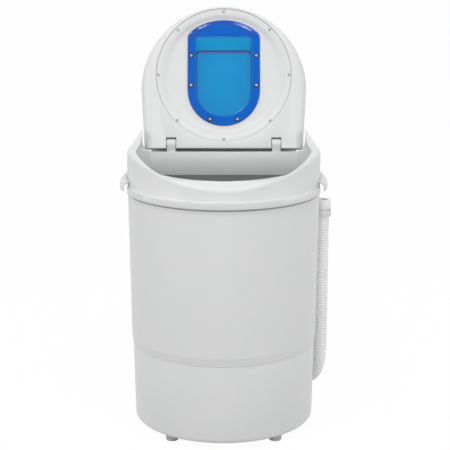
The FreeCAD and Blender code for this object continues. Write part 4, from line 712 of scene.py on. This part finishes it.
# moulded pieces that keep their CAD shape, with the size of the round on their edges in millimetres
edgeRounds = {
    "top_cover": 0.25, "left_grip": 0.8, "right_grip": 0.8,
    "hinge_bracket_left": 0.8, "hinge_bracket_right": 0.8, "control_panel": 0.3, "hose_cuff": 0.6,
    "hose_clip": 0.5, "lid_frame": 0.6, "lid_shell": 0.6,
    "pulsator": 1.0, "rubber_feet": 1.0, "timer_knob": 0.5, "selector_knob": 0.5, "drain_pipe": 0.6,
    "cord_gland": 0.6}
# how the edges are found and broken: merge distance in millimetres, angles in degrees
edgeBreak = {"merge": 0.002, "flatWithin": 0.5, "sharpFrom": 32, "shortest": 1.5, "segments": 2}


def softened(node, edge):
    # a copy of the CAD shape with its moulded edges broken, smooth-shaded between them
    shape = bmesh.new()
    shape.from_mesh(cadNodes[node].data)
    bmesh.ops.remove_doubles(shape, verts=shape.verts, dist=edgeBreak["merge"] * mm)
    bmesh.ops.dissolve_limit(shape, angle_limit=math.radians(edgeBreak["flatWithin"]), verts=shape.verts,
                             edges=shape.edges)
    sharp = [line for line in shape.edges  # rims of small holes are too finely cut to take a round
             if line.is_manifold and line.calc_face_angle(0.0) > math.radians(edgeBreak["sharpFrom"])
             and line.calc_length() > edgeBreak["shortest"] * edge * mm]
    bmesh.ops.bevel(shape, geom=sharp, offset=edge * mm, offset_type="OFFSET", segments=edgeBreak["segments"],
                    profile=0.5, affect="EDGES", clamp_overlap=False)
    mesh = bpy.data.meshes.new(node)
    shape.to_mesh(mesh)
    shape.free()
    return standIn(node + "Piece", smoothShaded(mesh), node)


softPieces = {node: softened(node, edge) for node, edge in edgeRounds.items()}
print("moulded pieces:", len(softPieces))

# control deck: two panel screws and a white pointer let into the ridge of each knob
controlDeck = {
    "screws": {"head": 2.8, "rise": 1.4, "shank": 1.5, "length": 4.0, "seed": 11, "seat": 527.0,
               "spots": [(-71, 128.95), (71, 128.95)]},
    "pointer": {"from": 2.0, "to": 10.8, "half": 0.8, "foot": 543.2, "top": 543.9, "soft": 0.25, "steps": 8},
    "knobs": {"timer_knob": (42, 137.5), "selector_knob": (-42, 137.5)}}


def pointerLoop(middle, z, inset):
    # a slim bar with round ends, pointing to the rear of the knob
    look = controlDeck["pointer"]
    half = look["half"] - inset
    points = []
    for end, start in ((look["to"], 0), (look["from"], 180)):
        for k in range(look["steps"] + 1):
            turn = math.radians(start + 180 * k / look["steps"])
            y = end - look["half"] * math.cos(math.radians(start)) + half * math.sin(turn)
            points.append((middle[0] + half * math.cos(turn), middle[1] + y, z))
    return points


def makeControls():
    screws, look = controlDeck["screws"], controlDeck["pointer"]
    spots = [(x, y, screws["seat"]) for x, y in screws["spots"]]
    standIn("panelScrews", screwMesh("panelScrews", spots, (0, 0, 0), screws), "panel_screws")
    for node, middle in controlDeck["knobs"].items():
        loops = [pointerLoop(middle, look["foot"], 0), pointerLoop(middle, look["top"] - look["soft"], 0),
                 pointerLoop(middle, look["top"], look["soft"])]
        name = node.split("_")[0] + "Pointer"
        mesh = loopSkin(name, loops)
        mesh.materials.append(whiteAbs)
        newPiece(name, mesh, node)


makeControls()
print("control deck dressed")

# studio, in metres: a white sweep and tent in plain sight, softer light levels for what they give the
# object; each lamp has its place, its width and its power in watts
studioLook = {
    "size": 12.0, "floor": "#b8b8b8", "floorRough": 0.9, "glow": 0.95,
    "front": 0.43, "rear": 0.46, "above": 0.36, "roofFrom": 0.2, "aim": (0, 0, 0.35),
    "lamps": {"highLeftSoftbox": ((-0.75, -1.3, 2.9), 0.5, 12.5),
              "highRightSoftbox": ((0.6, -1.3, 2.9), 0.5, 9), "frontSoftbox": ((0.0, -2.8, 0.8), 1.0, 8),
              "leftSoftbox": ((-2.0, -1.0, 1.0), 1.2, 9), "rightSoftbox": ((2.0, -1.0, 1.0), 1.2, 8.5)}}
white = (1, 1, 1, 1)


def plainSight(tree):
    # 1 where the camera looks at it, straight, in a reflection or through a clear piece, and else 0
    rays = addNode(tree, "ShaderNodeLightPath").outputs
    seen = addNode(tree, "ShaderNodeMath", {"operation": "MAXIMUM"},
                   links={0: rays["Is Camera Ray"], 1: rays["Is Glossy Ray"]})
    through = addNode(tree, "ShaderNodeMath", {"operation": "MAXIMUM"},
                      links={0: seen.outputs[0], 1: rays["Is Transmission Ray"]})
    return through.outputs[0]


def makeFloor():
    # white paper sweep: looks plain white and keeps the soft contact shadow
    half = studioLook["size"]
    mesh = bpy.data.meshes.new("studioFloor")
    corners = [(-half, -half, 0), (half, -half, 0), (half, half, 0), (-half, half, 0)]
    mesh.from_pydata(corners, [], [(0, 1, 2, 3)])
    paper, tree, shader = newFinish("whitePaperSweep")
    shader.inputs["Roughness"].default_value = studioLook["floorRough"]
    glow = addNode(tree, "ShaderNodeEmission", values={"Color": white, "Strength": 1.0})
    inSight = plainSight(tree)
    share = addNode(tree, "ShaderNodeMath", {"operation": "MULTIPLY"}, {1: studioLook["glow"]}, {0: inSight})
    sheet = addNode(tree, "ShaderNodeMix", {"data_type": "RGBA"},
                    {6: linear(studioLook["floor"]), 7: white}, {0: inSight})
    tree.links.new(sheet.outputs[2], shader.inputs["Base Color"])
    lit = addNode(tree, "ShaderNodeMixShader",
                  links={0: share.outputs[0], 1: shader.outputs[0], 2: glow.outputs[0]})
    tree.links.new(lit.outputs[0], tree.nodes["Material Output"].inputs["Surface"])
    mesh.materials.append(paper)
    placed("studioFloor", mesh)


def makeTent():
    # the world: white in plain sight, and a tent a little brighter behind and above for its light
    world = bpy.data.worlds.new("whiteStudio")
    scene.world = world
    world.use_nodes = True
    sky = world.node_tree
    inSight = plainSight(sky)
    way = addNode(sky, "ShaderNodeTexCoord").outputs["Generated"]
    way = addNode(sky, "ShaderNodeSeparateXYZ", links={0: way}).outputs
    wall = addNode(sky, "ShaderNodeMapRange", links={0: way["Y"]},
                   values={1: -1.0, 2: 1.0, 3: studioLook["front"], 4: studioLook["rear"]})
    roof = addNode(sky, "ShaderNodeMapRange", links={0: way["Z"]},
                   values={1: studioLook["roofFrom"], 2: 1.0, 3: 0.0, 4: studioLook["above"]})
    tent = addNode(sky, "ShaderNodeMath", {"operation": "ADD"},
                   links={0: wall.outputs[0], 1: roof.outputs[0]})
    level = addNode(sky, "ShaderNodeMapRange", values={4: 1.0}, links={0: inSight, 3: tent.outputs[0]})
    back = sky.nodes["Background"]
    back.inputs["Color"].default_value = white
    sky.links.new(level.outputs[0], back.inputs["Strength"])


def makeLamps():
    for name, (place, width, power) in studioLook["lamps"].items():
        data = bpy.data.lights.new(name, "AREA")
        data.size = width
        data.energy = power
        lamp = placed(name, data)
        lamp.location = place
        sight = Vector(studioLook["aim"]) - Vector(place)
        lamp.rotation_euler = sight.to_track_quat("-Z", "Y").to_euler()


makeFloor()
makeTent()
makeLamps()
scene.view_settings.view_transform = "Standard"
print("studio lit")
